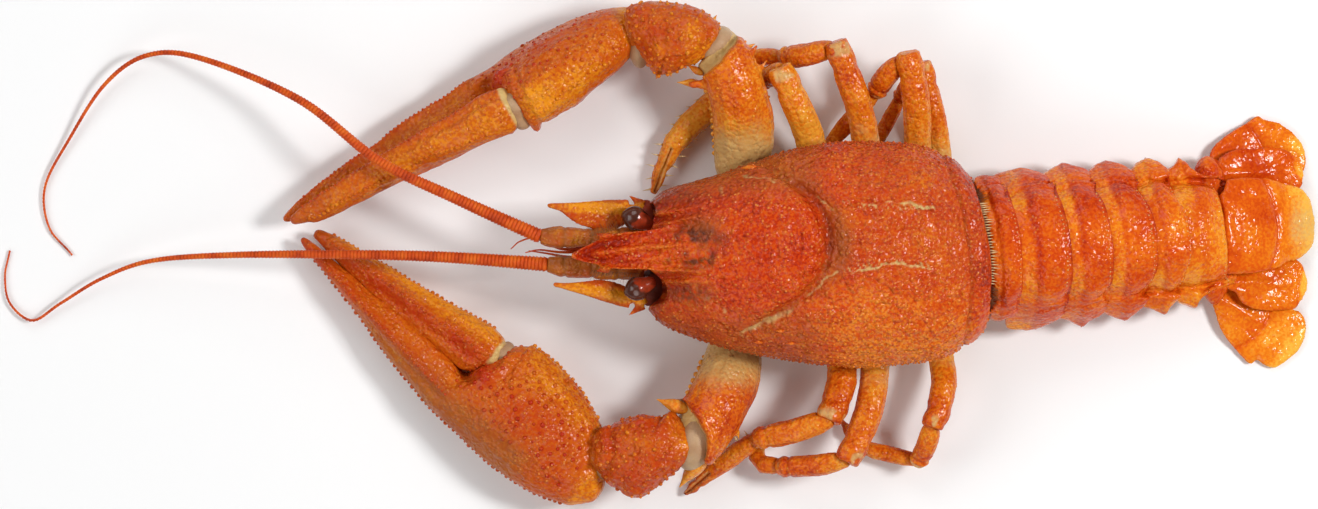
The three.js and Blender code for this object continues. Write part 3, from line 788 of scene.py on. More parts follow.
def orbit_shade_finish():
    """Painted shade in the hollows of the eyes: a dark dull finish, redder by the mark named tone."""
    f = Finish("orbit_skin")
    colour = f.blend(f.noise(0.9, 3.0), shade("ink"), shade("umber"))
    colour = f.blend(f.mark("tone"), colour, shade("red"))
    return f.close(colour, 0.5 + f.noise(0.7) * 0.2, f.noise(0.4), 0.1, Specular_IOR_Level=0.2)


def bristle_finish(name, light, dark):
    """Horny hairs of two colours."""
    f = Finish(name)
    colour = f.blend(f.noise(1.2, 1.0), shade(light), shade(dark))
    return f.close(colour, 0.45 + f.noise(0.5) * 0.1, f.noise(0.1), 0.01)


def whip_finish():
    """Ringed feelers, clouded from deep red to orange."""
    f = Finish("feeler")
    colour = f.ramp(f.noise(2.4, 3.0), *WHIP_STOPS)
    return f.close(colour, 0.36 + f.noise(0.8) * 0.15, f.noise(0.3), 0.04, Specular_IOR_Level=0.25)


# Colours of each shell from its reddest to its yellowest tone
CARAPACE_RAMP = (paint(150, 30, 8), paint(194, 54, 10), paint(208, 86, 18), paint(226, 128, 34))
CLAW_RAMP = (paint(180, 44, 12), paint(188, 70, 14), paint(200, 96, 16), paint(228, 142, 24))
LEG_RAMP = (paint(176, 52, 12), paint(206, 88, 14), paint(224, 122, 22), paint(230, 156, 48))
TAIL_RAMP = (paint(170, 38, 8), paint(202, 68, 12), paint(220, 100, 18), paint(236, 146, 32))
FAN_RAMP = (paint(188, 54, 8), paint(214, 86, 12), paint(232, 126, 22), paint(244, 176, 60))
WHIP_STOPS = ((0.25, paint(166, 48, 10)), (0.5, paint(212, 80, 14)), (0.8, paint(230, 118, 26)))


class Look:
    """The animal's coats, made once."""

    def __init__(self):
        # Ramp, clouding, roughness, spacing and height of the domes, strength and spacing of the specks
        self.carapace = shell_coat("carapace_shell", CARAPACE_RAMP, 0.6, 0.14, 0.85, 0.26, 0.5, 0.7)
        self.claw = shell_coat("claw_shell", CLAW_RAMP, 0.4, 0.17, 0.8, 0.18, 0.5, 0.8)
        self.leg = shell_coat("leg_shell", LEG_RAMP, 0.6, 0.15, 0.8, 0.13, 0.6, 0.8)
        self.tail = shell_coat("tail_shell", TAIL_RAMP, 0.45, 0.1, 0.9, 0.14, 0.3, 0.7)
        self.fan = shell_coat("tail_fan", FAN_RAMP, 0.35, 0.08, 0.9, 0.07, 0.15)
        self.head = shell_coat("head_limb", CLAW_RAMP, 0.5, 0.2, 0.7, 0.12, 0.5)
        self.under = shell_coat("underside", LEG_RAMP, 0.4, 0.4, 0.6, 0.08, 0.2)
        self.skin = Coat(membrane_finish(), "underside")
        self.eye = Coat(eye_finish(), "eye")
        # Dark balls in the eye hollows: painted shade
        self.orbit = Coat(orbit_shade_finish(), "eye")
        self.bristle = Coat(bristle_finish("bristle", "ivory", "cream"), "head_limb")
        self.hair = Coat(bristle_finish("dark_bristle", "brown", "umber"), "head_limb")
        self.whip = Coat(whip_finish(), "antenna")


# The back

def groove_x(y):
    """Where the cervical groove lies along the back, for a place across it."""
    side = np.abs((y - GROOVE_MIDDLE_Y) / GROOVE_HALF_WIDTH)
    return GROOVE_BACK_X - GROOVE_REACH * side**2.4


def rim_x(y):
    """Where the carapace ends, for a place across the back."""
    return RIM_X - (RING_SWEEP + TAIL_YAW) * (y - 1) - RING_BOW * (y - 1) ** 2


GROOVE_ACROSS = np.linspace(17, -13, 80)
GROOVE_LINE = np.stack([groove_x(GROOVE_ACROSS), GROOVE_ACROSS], axis=1)
# The seams beside the areola, on the right and on the left
AREOLA_LINES = (
    ((30.2, 10.6), (32, 9.5), (36, 8.9), (42, 8.6), (48.6, 8.3)),
    ((30.6, -4.4), (32.6, -3.2), (38.7, -1.9), (43, -2), (47.8, -2.6)),
)
# Cream skin that shows in parts of the groove, and its half width
PALE_SEAMS = (
    (((31.6, -2.2), (30, -3.4), (28.2, -4.9), (26.4, -6.8), (24.6, -8.3)), 0.36),
    (((24.2, -8.6), (21.4, -10.6), (18.6, -12), (15.6, -13.2), (12.4, -14.6)), 0.62),
    (((30.6, 7.2), (28.8, 8.7), (26.2, 10.5)), 0.34),
    (((21.2, 12.5), (17.2, 13.5), (13.2, 14.2)), 0.3),
)
# The beak's rims, the ridges behind the eyes and the beak's keel
RIDGE_LINES = (
    ((-15.2, -0.3), (-10.9, 2.7), (-5.2, 3.9), (-0.7, 5), (5.1, 6.3), (10.3, 7.6)),
    ((-15.2, -0.4), (-10, -2.3), (-5.2, -2.6), (0.3, -3), (5.1, -2.9), (10.3, -3.7)),
)
CHEEK_LINES = (
    ((-1.2, 7), (3, 7.5), (7.2, 8.2)),
    ((0.2, -4.7), (4, -4.6), (9.4, -4.8)),
)
KEEL_LINE = ((-14.8, -0.3), (-5.2, 0.9), (0.2, 1.4), (10.3, 2.0))
# Pale scars beside the head
SCARS = ((10.7, 11.2), (11.4, -9.7), (8.5, -7.6))
# The hollow of each eye: its middle across, its half width, how far back its margin lies, how red the ball
# of painted shade in it is
ORBITS = {"right": (6.4, 2.0, 0.9, 0.5), "left": (-5.8, 2.2, 2.6, 0.15)}
HEAD_FRONT_X = -2.1
ORBIT_REACH = 7


def open_orbits(shell):
    """Draws the head's front margin back round each eye."""
    x, y, _ = shell.points.T
    share = np.clip(1 - (x - HEAD_FRONT_X) / ORBIT_REACH, 0, 1) * ease(-4.5, HEAD_FRONT_X, x)
    for middle, width, depth, _ in ORBITS.values():
        shell.points[:, 0] += depth * share * np.exp(-(((y - middle) / (1.25 * width)) ** 4))


def head_relief(shell):
    """The beak's raised rims and keel, and the two short ridges behind each eye, lighter along their crests
    and darker in the troughs beside them as painted shade.
    """
    flat = shell.flat
    x = flat[:, 0]
    up = ease(0.1, 0.5, shell.tilt())
    height = np.zeros(len(flat))
    front = ease(2, -6, x)
    patchy = 0.7 + 0.3 * shell.rough(1.4, 24)
    for line in RIDGE_LINES:
        ridge, share = away(flat, through(line))
        fade = ease(1.0, 0.72, share)
        trough = bell(ridge - 1.2, 0.6) * fade
        height += 1.1 * bell(ridge, 0.45) * fade - 0.5 * trough
        # Lighter along the crest; redder and darker in the trough beside it towards the tip, as painted
        # shade
        shell.mark("tone", 0.3 * bell(ridge, 0.4) * fade * patchy - 0.22 * trough * front)
        shell.mark("dark", 0.2 * trough * front * ease(-15, -11, x))
    for line in CHEEK_LINES:
        ridge, share = away(flat, through(line))
        trough = bell(ridge - 1.2, 0.6) * (1 - share)
        height += 1.3 * bell(ridge, 0.5) * (1 - 0.75 * share) - 0.5 * trough
        # Lighter along the crest; redder and darker in the trough beside it, as painted shade
        shell.mark("tone", 0.3 * bell(ridge, 0.45) * (1 - share) * patchy - 0.25 * trough)
        shell.mark("dark", 0.3 * trough)
    keel, share = away(flat, through(KEEL_LINE))
    along = ease(0, 0.15, share) * ease(1, 0.6, share)
    height += (0.55 * bell(keel, 0.4) - 0.4 * bell(keel - 1.1, 0.7)) * along
    # Lighter along the keel; darker beside it towards the tip, as painted shade
    shell.mark("tone", (0.2 * bell(keel, 0.35) * patchy - 0.25 * bell(keel - 1.1, 0.6) * front) * along)
    shell.lift(height * up)


def carapace_relief(shell):
    """Grooves and folds of the back, and the marks that colour them, with painted shade in the groove and
    in the furrow before the rim.
    """
    flat = shell.flat
    x, y = flat.T
    up = ease(-0.05, 0.35, shell.tilt())
    height = shell.rough(4.5, 11) * 0.14 + shell.rough(1.5, 12) * 0.06
    groove, passed = away(flat, GROOVE_LINE)
    behind = x - groove_x(y)
    depth = relief().groove_depth / MM
    ends = ease(0, 0.1, passed) * ease(1, 0.93, passed)
    height -= (depth * bell(groove, 0.55) + 0.5 * bell(groove, 1.6)) * ends
    height += 0.45 * bell(behind + 2.6, 1.6) * up * bell(y - 2, 11)
    broken = ease(-0.6, 0.1, shell.rough(5.0, 13) + 0.5 * shell.rough(1.2, 18))
    pale = np.zeros(len(flat))
    ragged = 0.5 * shell.rough(2.2, 25) + 0.3 * shell.rough(0.9, 26)
    strayed = np.stack([x, y + ragged], axis=1)
    for line, width in PALE_SEAMS:
        seam, share = away(strayed, through(line))
        fade = ease(0, 0.2, share) * ease(1, 0.8, share)
        height -= 0.3 * bell(seam, 0.5) * fade
        pale += 0.75 * bell(seam, 0.85 * width) * fade * (0.7 + 0.3 * shell.rough(0.9, 20))
    # Darker in the groove and in a band just behind its middle: painted shade
    shell.mark("dark", 0.3 * bell(behind - 0.5, 1.0) * bell(y - 2, 5.5) + 0.3 * bell(groove, 0.8) * ends)
    shell.mark("dull", 0.7 * bell(behind - 2.2, 2.0) * bell(y - 2, 9))
    for line, outward in zip(AREOLA_LINES, (1, -1)):
        path = through(line)
        seam, share = away(strayed, path)
        fade = ease(0, 0.15, share) * ease(1, 0.9, share)
        beyond = outward * (y - np.interp(x, path[:, 0], path[:, 1]))
        height += 0.35 * ease(-0.1, 0.8, beyond) * ease(6, 1.5, beyond) * fade
        height -= 0.3 * bell(seam, 0.4) * fade
        pale += 0.75 * bell(seam, 0.24) * fade * broken * ease(0.05, 0.3, share)
        combed = wave(x + 0.6 * y)
        hairs = ease(0.2, 0.7, combed + 0.7 * shell.rough(0.7, 19))
        pale += 0.65 * hairs * bell(beyond + 0.6, 0.7) * fade * broken
    rim = rim_x(y) - x
    height += 0.25 * bell(rim - 1.5, 0.9) - 0.45 * bell(rim - 3.3, 0.4)
    # Darker in the furrow before the rim: painted shade
    shell.mark("dark", 0.35 * bell(rim - 3.3, 0.35))
    folds = wave(behind / 1.2 + shell.rough(2.4, 15) * 0.8)
    height += 0.11 * folds * bell(behind + 3.4, 2.4) * bell(y - 2, 7.5)
    crown = spot(x, y, (7.5, 3.6), 3.0, 1.5)
    height += 0.16 * shell.rough(0.9, 14) * crown
    creases = wave((x - 0.7 * y) / 1.5 + shell.rough(2.2, 23) * 0.9)
    height += 0.07 * creases * spot(x, y, (18, -6), 4.5, 1.6)
    pleats = wave(x / 1.1 + shell.rough(3.0, 16))
    height += 0.06 * pleats * bell(y - 3.2, 4.6) * ease(33, 36, x) * ease(54, 50, x)
    height -= 0.16 * bell(x - 34.2, 0.3) * bell(y - 3.2, 4.4)
    grit = shell.grains(0.95, 17, 0.6)
    flank = ease(5, 10, np.abs(y - 3))
    height += 0.1 * grit * (0.4 + 0.6 * flank)
    outside = ease(-0.3, 0.1, shell.tilt() + 0.02 * shell.points[:, 2])
    shell.push(height * ease(-6, 2, x) * outside)
    shell.mark("pale", pale * up)


def carapace_marks(shell):
    """Redder on the head, oranger on the flanks, brown on the crown of the head."""
    x, y, z = shell.points.T
    head = ease(31, 25, x)
    tone = 0.5 + 0.16 * shell.rough(7, 21) - 0.04 * head
    tone += 0.3 * ease(-2, -13, y) * ease(28, 36, x)
    tone -= 0.12 * bell(y - 8, 5) * bell(x - 15, 9)
    tone -= 0.25 * bell(rim_x(y) - x - 1.2, 1.4) - 0.12 * spot(x, y, (43, 3), 5, 2)
    shell.mark("tone", tone)
    crown = ease(1.25, 0.6, np.hypot((x - 6) / 6.2, (y - 1.3) / 4.0))
    shell.mark("dark", 0.95 * crown * ease(-0.4, 0.35, shell.rough(1.5, 22)))
    cheeks = spot(x, y, (5.5, -7.0), 2.0, 2.2) + 0.7 * spot(x, y, (4, 10), 1.8, 2.4)
    shell.mark("dark", 0.8 * cheeks)
    shell.mark("dull", 0.7 * spot(x, y, (7.5, 4.6), 2.4, 1.5))
    shell.mark("dull", 0.45 * ease(14, 9, z) + 0.4 * ease(8, 13, np.abs(y)) * head)
    shell.mark("dull", 0.15 * ease(30, 36, x) * ease(-8, -2, y))
    shell.mark("dark", 0.55 * bell(x + 1.2, 2.2) * ease(4, 8, np.abs(y)))
    for along, across in SCARS:
        shell.mark("pale", 0.45 * bell(np.hypot(x - along, (y - across) / 2), 0.45))
    edge = ease(0.6, 0.85, np.abs(y - 2) / 18) * ease(8, 11, z) * ease(56, 50, x)
    shell.marks["knobs"] = np.maximum(edge, 0.25 * ease(30, 34, x) * ease(7, 11, np.abs(y - 3)))


class CRAYFISH_OT_carapace(bpy.types.Operator):
    """Carapace with its grooves, ridges, beak and rough flanks"""

    bl_idname = "crayfish.carapace"
    bl_label = "Carapace"

    # Thorns behind the ends of the groove: place and half length
    THORNS = ((15.6, 15.0, 1.5), (17.2, -15.2, 0.9), (20.9, -13.2, 0.8), (22.7, -15.4, 0.8))

    def execute(self, context):
        net = relief().body_net / MM
        shell = Shell.of_node("carapace", net, 50, hold=lambda points: ease(5, 1, points[:, 0]))
        open_orbits(shell)
        carapace_marks(shell)
        head_relief(shell)
        carapace_relief(shell)
        shell.piece("carapace_shell", look.carapace, "carapace")
        strew("carapace_grit", shell, 0.2, look.carapace, 5, 1.0, 0.25, 0.24)
        for number, (x, y, length) in enumerate(self.THORNS):
            z = surface_heights("carapace", [(x + 0.3 * length, y)])[0]
            centre, radii = (x, y, z + 0.1), (length, 0.4 * length, 0.36 * length)
            spine = thorn(centre, radii, math.pi)
            spine.mark("tone", 0.75)
            spine.piece(f"groove_thorn_{number + 1}", look.carapace)
        return {"FINISHED"}


class CRAYFISH_OT_underside(bpy.types.Operator):
    """Belly plate and mouth limbs"""

    bl_idname = "crayfish.underside"
    bl_label = "Underside"

    def execute(self, context):
        belly = Shell.of_node("belly", 0.4, 60, keep=2.5)
        x, _, z = belly.points.T
        ribs = np.cos(2 * math.pi * (x - 14) / 9.2)
        low = ease(0.6, 2.0, z)
        belly.push((0.5 * ribs + belly.rough(2.5, 31) * 0.25) * low * ease(6.6, 5.6, z))
        belly.mark("tone", 0.75 + 0.2 * belly.rough(5, 32))
        belly.mark("pale", 0.35 + 0.25 * ribs)
        belly.piece("belly_plate", look.under, "belly")
        for side in SIDES:
            node = f"{side}_mouth_limb"
            limb = Shell.of_node(node, 0.25, 16, grow=0.1)
            limb.push(limb.rough(1.8, 33) * 0.12)
            rings = np.cos(2 * math.pi * limb.points[:, 0] / 4.4)
            limb.push(-0.2 * ease(0.8, 1.0, rings))
            limb.mark("tone", 0.6 + 0.3 * limb.rough(3, 34))
            limb.piece(node + "_shell", look.head, node)
        return {"FINISHED"}


# Head

class CRAYFISH_OT_eyes(bpy.types.Operator):
    """Eyes on their stalks, and dark balls of painted shade in the hollows behind them"""

    bl_idname = "crayfish.eyes"
    bl_label = "Eyes"

    # Towards the orange patch on the stalk's side of the right eye
    PATCH = (0.72, -0.42, 0.55)

    def execute(self, context):
        for side in SIDES:
            node = f"{side}_eye"
            mirror = np.array([1, 1 if side == "right" else -1, 1])
            eye = Shell.of_node(node, 0.14, 40, keep=1.0, grow=0.16)
            low, high = eye.points.min(axis=0), eye.points.max(axis=0)
            facing = (2 * eye.points - low - high) / (high - low) @ (self.PATCH * mirror)
            eye.push(eye.rough(1.2, 41) * 0.04)
            eye.mark("tone", ease(0.15, 0.85, facing + 0.2 * eye.rough(1.0, 47)))
            eye.piece(node + "_ball", look.eye, node)
            # A dark ball in the hollow behind each eye is painted shade
            middle, width, depth, red = ORBITS[side]
            centre = (HEAD_FRONT_X + depth - 1.4, middle, 14.3)
            hollow = Shell.ball(centre, (3.4, width + 1.0, 2.4))
            hollow.push(hollow.rough(1.1, 42) * 0.25)
            hollow.mark("tone", red + 0.2 * hollow.rough(1.4, 48))
            hollow.piece(f"{side}_orbit_skin", look.orbit)
        return {"FINISHED"}


class CRAYFISH_OT_antennae(bpy.types.Operator):
    """Antennae: scales, jointed bases, ringed whips and the small inner feelers"""

    bl_idname = "crayfish.antennae"
    bl_label = "Antennae"

    # Flare of a whip's rings, and routes, girth at both ends and rings of the inner feelers
    WHIP_FLARE = 0.12
    FEELERS = (
        (
            (-12, 1.2, 15.4), (-17, 1, 15.6), (-21.5, 2.8, 15.6), (-24.2, 2.3, 14.6),
            (-25.6, 1.2, 13.6),
        ),
        ((-12, 0.6, 15), (-17, 0.4, 15), (-20.8, 0.8, 14.6), (-23, 0.4, 13.8)),
        ((-12, -0.6, 15), (-16, -0.4, 15), (-19.6, 0.2, 14.6), (-22.4, 0.6, 13.6)),
    )
    FEELER_GIRTH = (0.34, 0.1)
    FEELER_RING = 0.3
    FEELER_FLARE = 0.05
    # Where the joints of the bases lie
    BASE_JOINTS = (-7.0, -11.6, -16.4)

    def execute(self, context):
        for side in SIDES:
            self.scale(f"{side}_antenna_scale")
            self.base(f"{side}_antenna_base")
            line = through(WHIPS[side], 0.7)
            share = np.linspace(0, 1, len(line))
            girth = np.interp(share, np.linspace(0, 1, len(WHIP_GIRTH)), WHIP_GIRTH)
            name = f"{side}_antenna_whip"
            piece = self.rings(name + "_rings", line, girth, relief().whip_ring, self.WHIP_FLARE)
            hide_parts(name)
        for number, feeler in enumerate(self.FEELERS):
            line = through(feeler, 0.3)
            girth = np.linspace(*self.FEELER_GIRTH, len(line))
            name = f"inner_feeler_{number + 1}"
            self.rings(name, line, girth, self.FEELER_RING * MM, self.FEELER_FLARE)
        return {"FINISHED"}

    def rings(self, name, line, girth, ring, flare):
        """Rings along a line, as wide as the girth at each of its points."""
        mesh = line_mesh(name + "_line", line, {"girth": girth})
        return whip_tree().grow(name, mesh, look.whip, ring=ring, flare=flare)

    def scale(self, node):
        """A pointed blade, amber along its middle."""
        shell = Shell.of_node(node, 0.16, 3, keep=0.1, grow=0.04)
        x, y, _ = shell.points.T
        if node.startswith("right"):
            y -= 1.5 * ease(-19.2, -15, x) * ease(-2, -9, x) * ease(9, 6.5, y)
        middle = np.interp(x, (x.min(), x.max()), (y[x.argmin()], y[x.argmax()]))
        edge = ease(0.6, 1.6, np.abs(y - middle))
        shell.push(0.18 * bell(y - middle, 0.6) + shell.rough(1.4, 43) * 0.06)
        shell.mark("tone", 0.95 - 0.55 * edge - 0.25 * ease(-14, -18, x))
        shell.mark("dull", 0.35 * bell(x + 8.5, 1.6))
        shell.piece(node + "_blade", look.head, node)

    def base(self, node):
        """A short jointed stem."""
        shell = Shell.of_node(node, 0.2, 8, grow=0.05)
        x = shell.points[:, 0]
        for joint in self.BASE_JOINTS:
            shell.push(-0.2 * bell(x - joint, 0.35) + 0.08 * bell(x - joint + 0.9, 0.5))
            shell.mark("dull", 0.4 * bell(x - joint, 0.5))
        shell.push(shell.rough(1.4, 44) * 0.1)
        shell.mark("tone", 0.5 + 0.3 * shell.rough(2.0, 45))
        shell.mark("dull", 0.6 + 0.3 * shell.rough(2.4, 46))
        shell.piece(node + "_stem", look.head, node)


# Tail

def tail_place(points):
    """Distance behind the neck, straightened, and distance across the tail."""
    along = TAIL_AHEAD[:2]
    across = np.array([-along[1], along[0]])
    v = (points[:, :2] - TAIL_START) @ across
    u = (points[:, :2] - TAIL_START) @ along
    return u + RING_SWEEP * v + RING_BOW * v * v, v


class CRAYFISH_OT_tail(bpy.types.Operator):
    """Six overlapping tail rings with hanging side flaps, and the skin of the neck"""

    bl_idname = "crayfish.tail"
    bl_label = "Tail rings"

    # How far each ring's rear edge laps over the next one
    OVERLAPS = (1.0, 1.0, 1.1, 1.4, 1.6, 2.0)
    # How strongly each ring is banded
    BANDS = (0.4, 1.0, 0.9, 0.6, 0.3, 0.1)
    # Outline of each ring's flaps from above
    RIGHT_FLAPS = (
        ((54.8, 13.3), (56.4, 13.7), (58, 13.5), (62, 13.6)),
        ((57.7, 13.4), (60, 14.4), (62, 14.7), (64, 15), (66, 14.4), (67.9, 13.8)),
        ((67.7, 13.6), (68.5, 14.7), (69.9, 15.6), (70.9, 16), (72.5, 15.4), (74.2, 14.9), (75.2, 14.1)),
        ((75, 14.1), (76, 15.4), (77.2, 16.3), (78.4, 16.6), (79.8, 16.2), (81.2, 15.3), (82.3, 14.2)),
        ((82.1, 14.2), (83, 15.6), (84.2, 16.3), (85.6, 16.9), (87, 16.3), (88, 15.2), (88.9, 14.1)),
        ((88.7, 14.1), (89.2, 15.9), (90, 16.7), (91.1, 17.2), (92.2, 16.3), (93.4, 15), (94.8, 14)),
    )
    LEFT_FLAPS = (
        ((56, -10.6), (58.5, -11.4), (60.5, -11), (63, -10.6)),
        ((59.4, -11.4), (60.3, -12.5), (62, -13.3), (64, -13.4), (66.3, -13), (68.5, -12), (70.5, -10.5)),
        ((70.4, -10.4), (71.5, -11.6), (73, -12.4), (74.4, -12.8), (75.3, -12), (76.7, -10.7), (78, -9.5)),
        ((77.8, -9.4), (79, -10.7), (80.3, -11.3), (82, -11.6), (82.8, -10.9), (84, -9.4), (85, -7.9)),
        ((84.8, -7.8), (85.8, -9.2), (87.2, -10), (88.7, -10.4), (89.5, -9.5), (90.4, -8), (91.3, -7)),
        ((91, -7.1), (92, -8.6), (93, -9.1), (94.1, -9.4), (94.9, -8.2), (95.6, -7), (96.4, -5.7)),
    )

    def execute(self, context):
        for index in range(6):
            self.ring(index)
        neck = Shell.ball((57.0, 1.0, 10.4), (3.2, 9.6, 8.2))
        neck.mark("dull", 0.5 + 0.2 * neck.rough(2.0, 50))
        neck.piece("neck_skin", look.skin)
        return {"FINISHED"}

    def fit_flaps(self, shell, index):
        """Draws the side edges of a ring to their outline."""
        x, y, _ = shell.points.T
        middle = TAIL_START[1] + TAIL_YAW * (x - TAIL_START[0])
        for sign, routes in ((1, self.RIGHT_FLAPS), (-1, self.LEFT_FLAPS)):
            edge = through(routes[index], 0.3)
            wanted = sign * (np.interp(x, edge[:, 0], edge[:, 1]) - middle) - FLAP_ROOT
            out = sign * (y - middle) - FLAP_ROOT
            share = np.clip(wanted / reach_beside(x, out), 0.7, 1.5) - 1
            y += sign * np.maximum(out, 0) * share * ease(0, 2.5, out)

    def fill_flanks(self, shell, out):
        """Lets the sides slope evenly from the shoulders to the flaps."""
        z = shell.points[:, 2]
        shoulder = z[np.abs(out - SHOULDER) < 0.4].max()
        fall = np.clip((out - SHOULDER) / (FLAP_TIP - SHOULDER), 0, 1) ** 1.2
        wanted = shoulder - (shoulder - FLAP_TIP_Z) * fall
        upper = ease(-0.1, 0.15, shell.tilt()) * ease(SHOULDER, SHOULDER + 1.5, out)
        shell.lift(shell.relaxed(np.maximum(wanted - z, 0) * upper, 8))

    def ring(self, index):
        """One ring: its crease, swellings and pits, its rear lip and its front tongue."""
        node = f"tail_ring_{index + 1}"
        shell = Shell.of_node(node, relief().tail_net / MM, 24, keep=0.5)
        self.fit_flaps(shell, index)
        u, v = tail_place(shell.points)
        start, end = TAIL_JOINTS[index], TAIL_JOINTS[index + 1]
        s = (u - start) / (end - start)
        normal = shell.normals()
        skin = ease(0.85, 0.5, np.abs(normal @ TAIL_AHEAD))
        back = ease(0.1, 0.5, normal[:, 2])
        slope = shell.relaxed(shell.points, 80) - shell.points
        shell.points += slope * (bell(np.abs(v) - 10, 2.0) * ease(-0.3, 0.2, normal[:, 2]))[:, None]
        self.fill_flanks(shell, np.abs(v))
        z = shell.points[:, 2]
        reach = np.hypot(v / np.abs(v).max(), (z - TAIL_AXIS_Z) / (z.max() - TAIL_AXIS_Z))
        outer = ease(0.7, 0.88, reach)
        height = shell.rough((3.0, 4.0, 4.0), 51 + index) * 0.15
        height += shell.rough(1.2, 57 + index) * 0.04
        height += 0.2 * bell(s - 0.62, 0.22) * back - 0.12 * bell(s - 0.36, 0.07) * back
        height += 0.07 * np.sin(2 * math.pi * v / 0.9) * bell(s - 0.9, 0.04) * back
        lump = bell(np.abs(v) - 8.6, 1.8) * bell(s - 0.6, 0.26) * ease(7, 12, z)
        height += 0.5 * lump + 0.5 * bell(np.abs(v) - 12.2, 1.3) * bell(s - 0.5, 0.3) * skin
        pits = shell.grains(1.0, 66, 0.3, 0.12) * ease(0.5, 0.7, s) * back
        height -= 0.1 * pits
        shell.push(height)
        lip = ease(0.6, 1.0, s) * outer
        tongue = ease(0.22, 0.0, s) * (index > 0)
        shell.points += TAIL_AHEAD * (self.OVERLAPS[index] * lip - 1.8 * tongue)[:, None]
        shell.push((0.1 * lip - 0.5 * ease(0.8, 1.0, s) * outer) * skin)
        self.band(shell, index, s, v)
        # A thin dark line along the rear edge: painted shadow where the ring laps over the next
        shell.mark("dark", 0.4 * bell(s - 0.985, 0.025) * back)
        shell.mark("dull", 0.3 * ease(5, 1, z))
        shell.piece(node + "_shell", look.tail, node)
        self.glints(shell, index, s, v, back)

    def band(self, shell, index, s, v):
        """Tones of a ring: amber before its band, redder on it and at its rear edge."""
        strength = self.BANDS[index]
        band = ease(0.3, 0.46, s + 0.08 * shell.rough(2.5, 63))
        tone = 0.5 + 0.22 * strength * (1 - band) - 0.06 * strength * band
        tone -= 0.26 * strength * bell(s - 0.45, 0.08) * bell(v - 1, 8)
        tone += 0.28 * shell.rough(4.5, 64) + 0.2 * bell(np.abs(v) - 7.4, 2.0) * (1 - band)
        tone -= 0.2 * bell(v - 8.5, 2.6) * band
        tone += 0.22 * ease(3.5, 5.5, index + ease(0, 1, s)) - 0.3 * ease(0.93, 1.0, s)
        shell.mark("tone", tone)

    def glints(self, shell, index, s, v, back):
        """Small pale beads in a row just before a ring's rear edge; their pale colour is a painted glint.
        """
        top = np.flatnonzero(back > 0.5)
        line = []
        for place in np.arange(-8.5, 8.6, 0.6):
            gap = np.hypot(v[top] - place, 6 * (s[top] - 0.9))
            line.append(shell.points[top[gap.argmin()]])
        line = calm(np.array(line), 2)
        bead_row(
            f"ring_{index + 1}_edge_beads", line, {"tone": 0.8, "pale": 0.6}, look.tail,
            80 + index, relief().edge_spacing, relief().edge_radius,
        )


# Each fan plate: its root, its tip, where a seam crosses it, where its gloss starts, and its tone
FAN = {
    "telson": ((100.6, 4.2), (115.2, 5.2), 0.56, 0.5, 0.38),
    "right_inner_plate": ((98.6, 14.2), (113.2, 14.8), 0.9, 0.7, 0.22),
    "right_outer_plate": ((96.5, 15.0), (113.7, 18.8), 0.6, 0.6, 0.3),
    "left_inner_plate": ((100.9, -4.9), (114.0, -5.2), 0.9, 0.62, 0.4),
    "left_outer_plate": ((97.5, -6.8), (112.2, -15.8), 0.62, 0.55, 0.5),
}
# First a place inside each plate, then its outline from above where it lies free
FAN_EDGES = {
    "telson": (
        (107, 5), (99.6, 13.2), (103, 13.5), (106.5, 13.3), (110, 12.3), (112.8, 11.4), (114.4, 9.8),
        (115.2, 7.4), (115.4, 4.6), (115.1, 2.2), (113.9, 0.4), (112.2, -0.8), (110.6, -1.1), (109, -2),
        (106, -3), (103, -3.4), (99.6, -3.5),
    ),
    "right_inner_plate": (
        (106, 15), (98.4, 17), (100, 18), (102, 18.6), (105, 18.6), (108, 18.8), (110.2, 18.5), (112, 17.2),
        (113, 15.6), (113.4, 14), (113.2, 12.2), (112.4, 11),
    ),
    "right_outer_plate": (
        (105, 19), (96.6, 17), (97.4, 18.7), (98.6, 20), (100.2, 21.2), (102, 22.3), (104, 23.4),
        (105.5, 24.2), (106.3, 23.7), (107.6, 23.5), (109, 23.2), (110.5, 22.3), (112, 21), (113.2, 19.2),
        (113.8, 17.4), (113.8, 15.8), (113.2, 14.4),
    ),
    "left_inner_plate": (
        (107, -6), (111.6, -0.6), (113.2, -1.7), (113.7, -3.2), (114, -4.9), (113.8, -6.4), (113, -8),
        (112, -9.5), (110, -9.8), (107, -9.8), (104.5, -9.4), (102.5, -8.4), (101.4, -7),
    ),
    "left_outer_plate": (
        (105.4, -13), (111.8, -9.8), (113, -10.3), (113.7, -11.3), (113.9, -12.6), (113.6, -14.3),
        (112.8, -16.2), (111.4, -18), (109.8, -19.2), (108.3, -19.8), (106.8, -19.5), (105.4, -18.6),
        (104.2, -19.2), (102.8, -18), (101.2, -16.3), (99.8, -14.6), (98.7, -12.7), (98, -10.8),
        (97.3, -8.8),
    ),
}


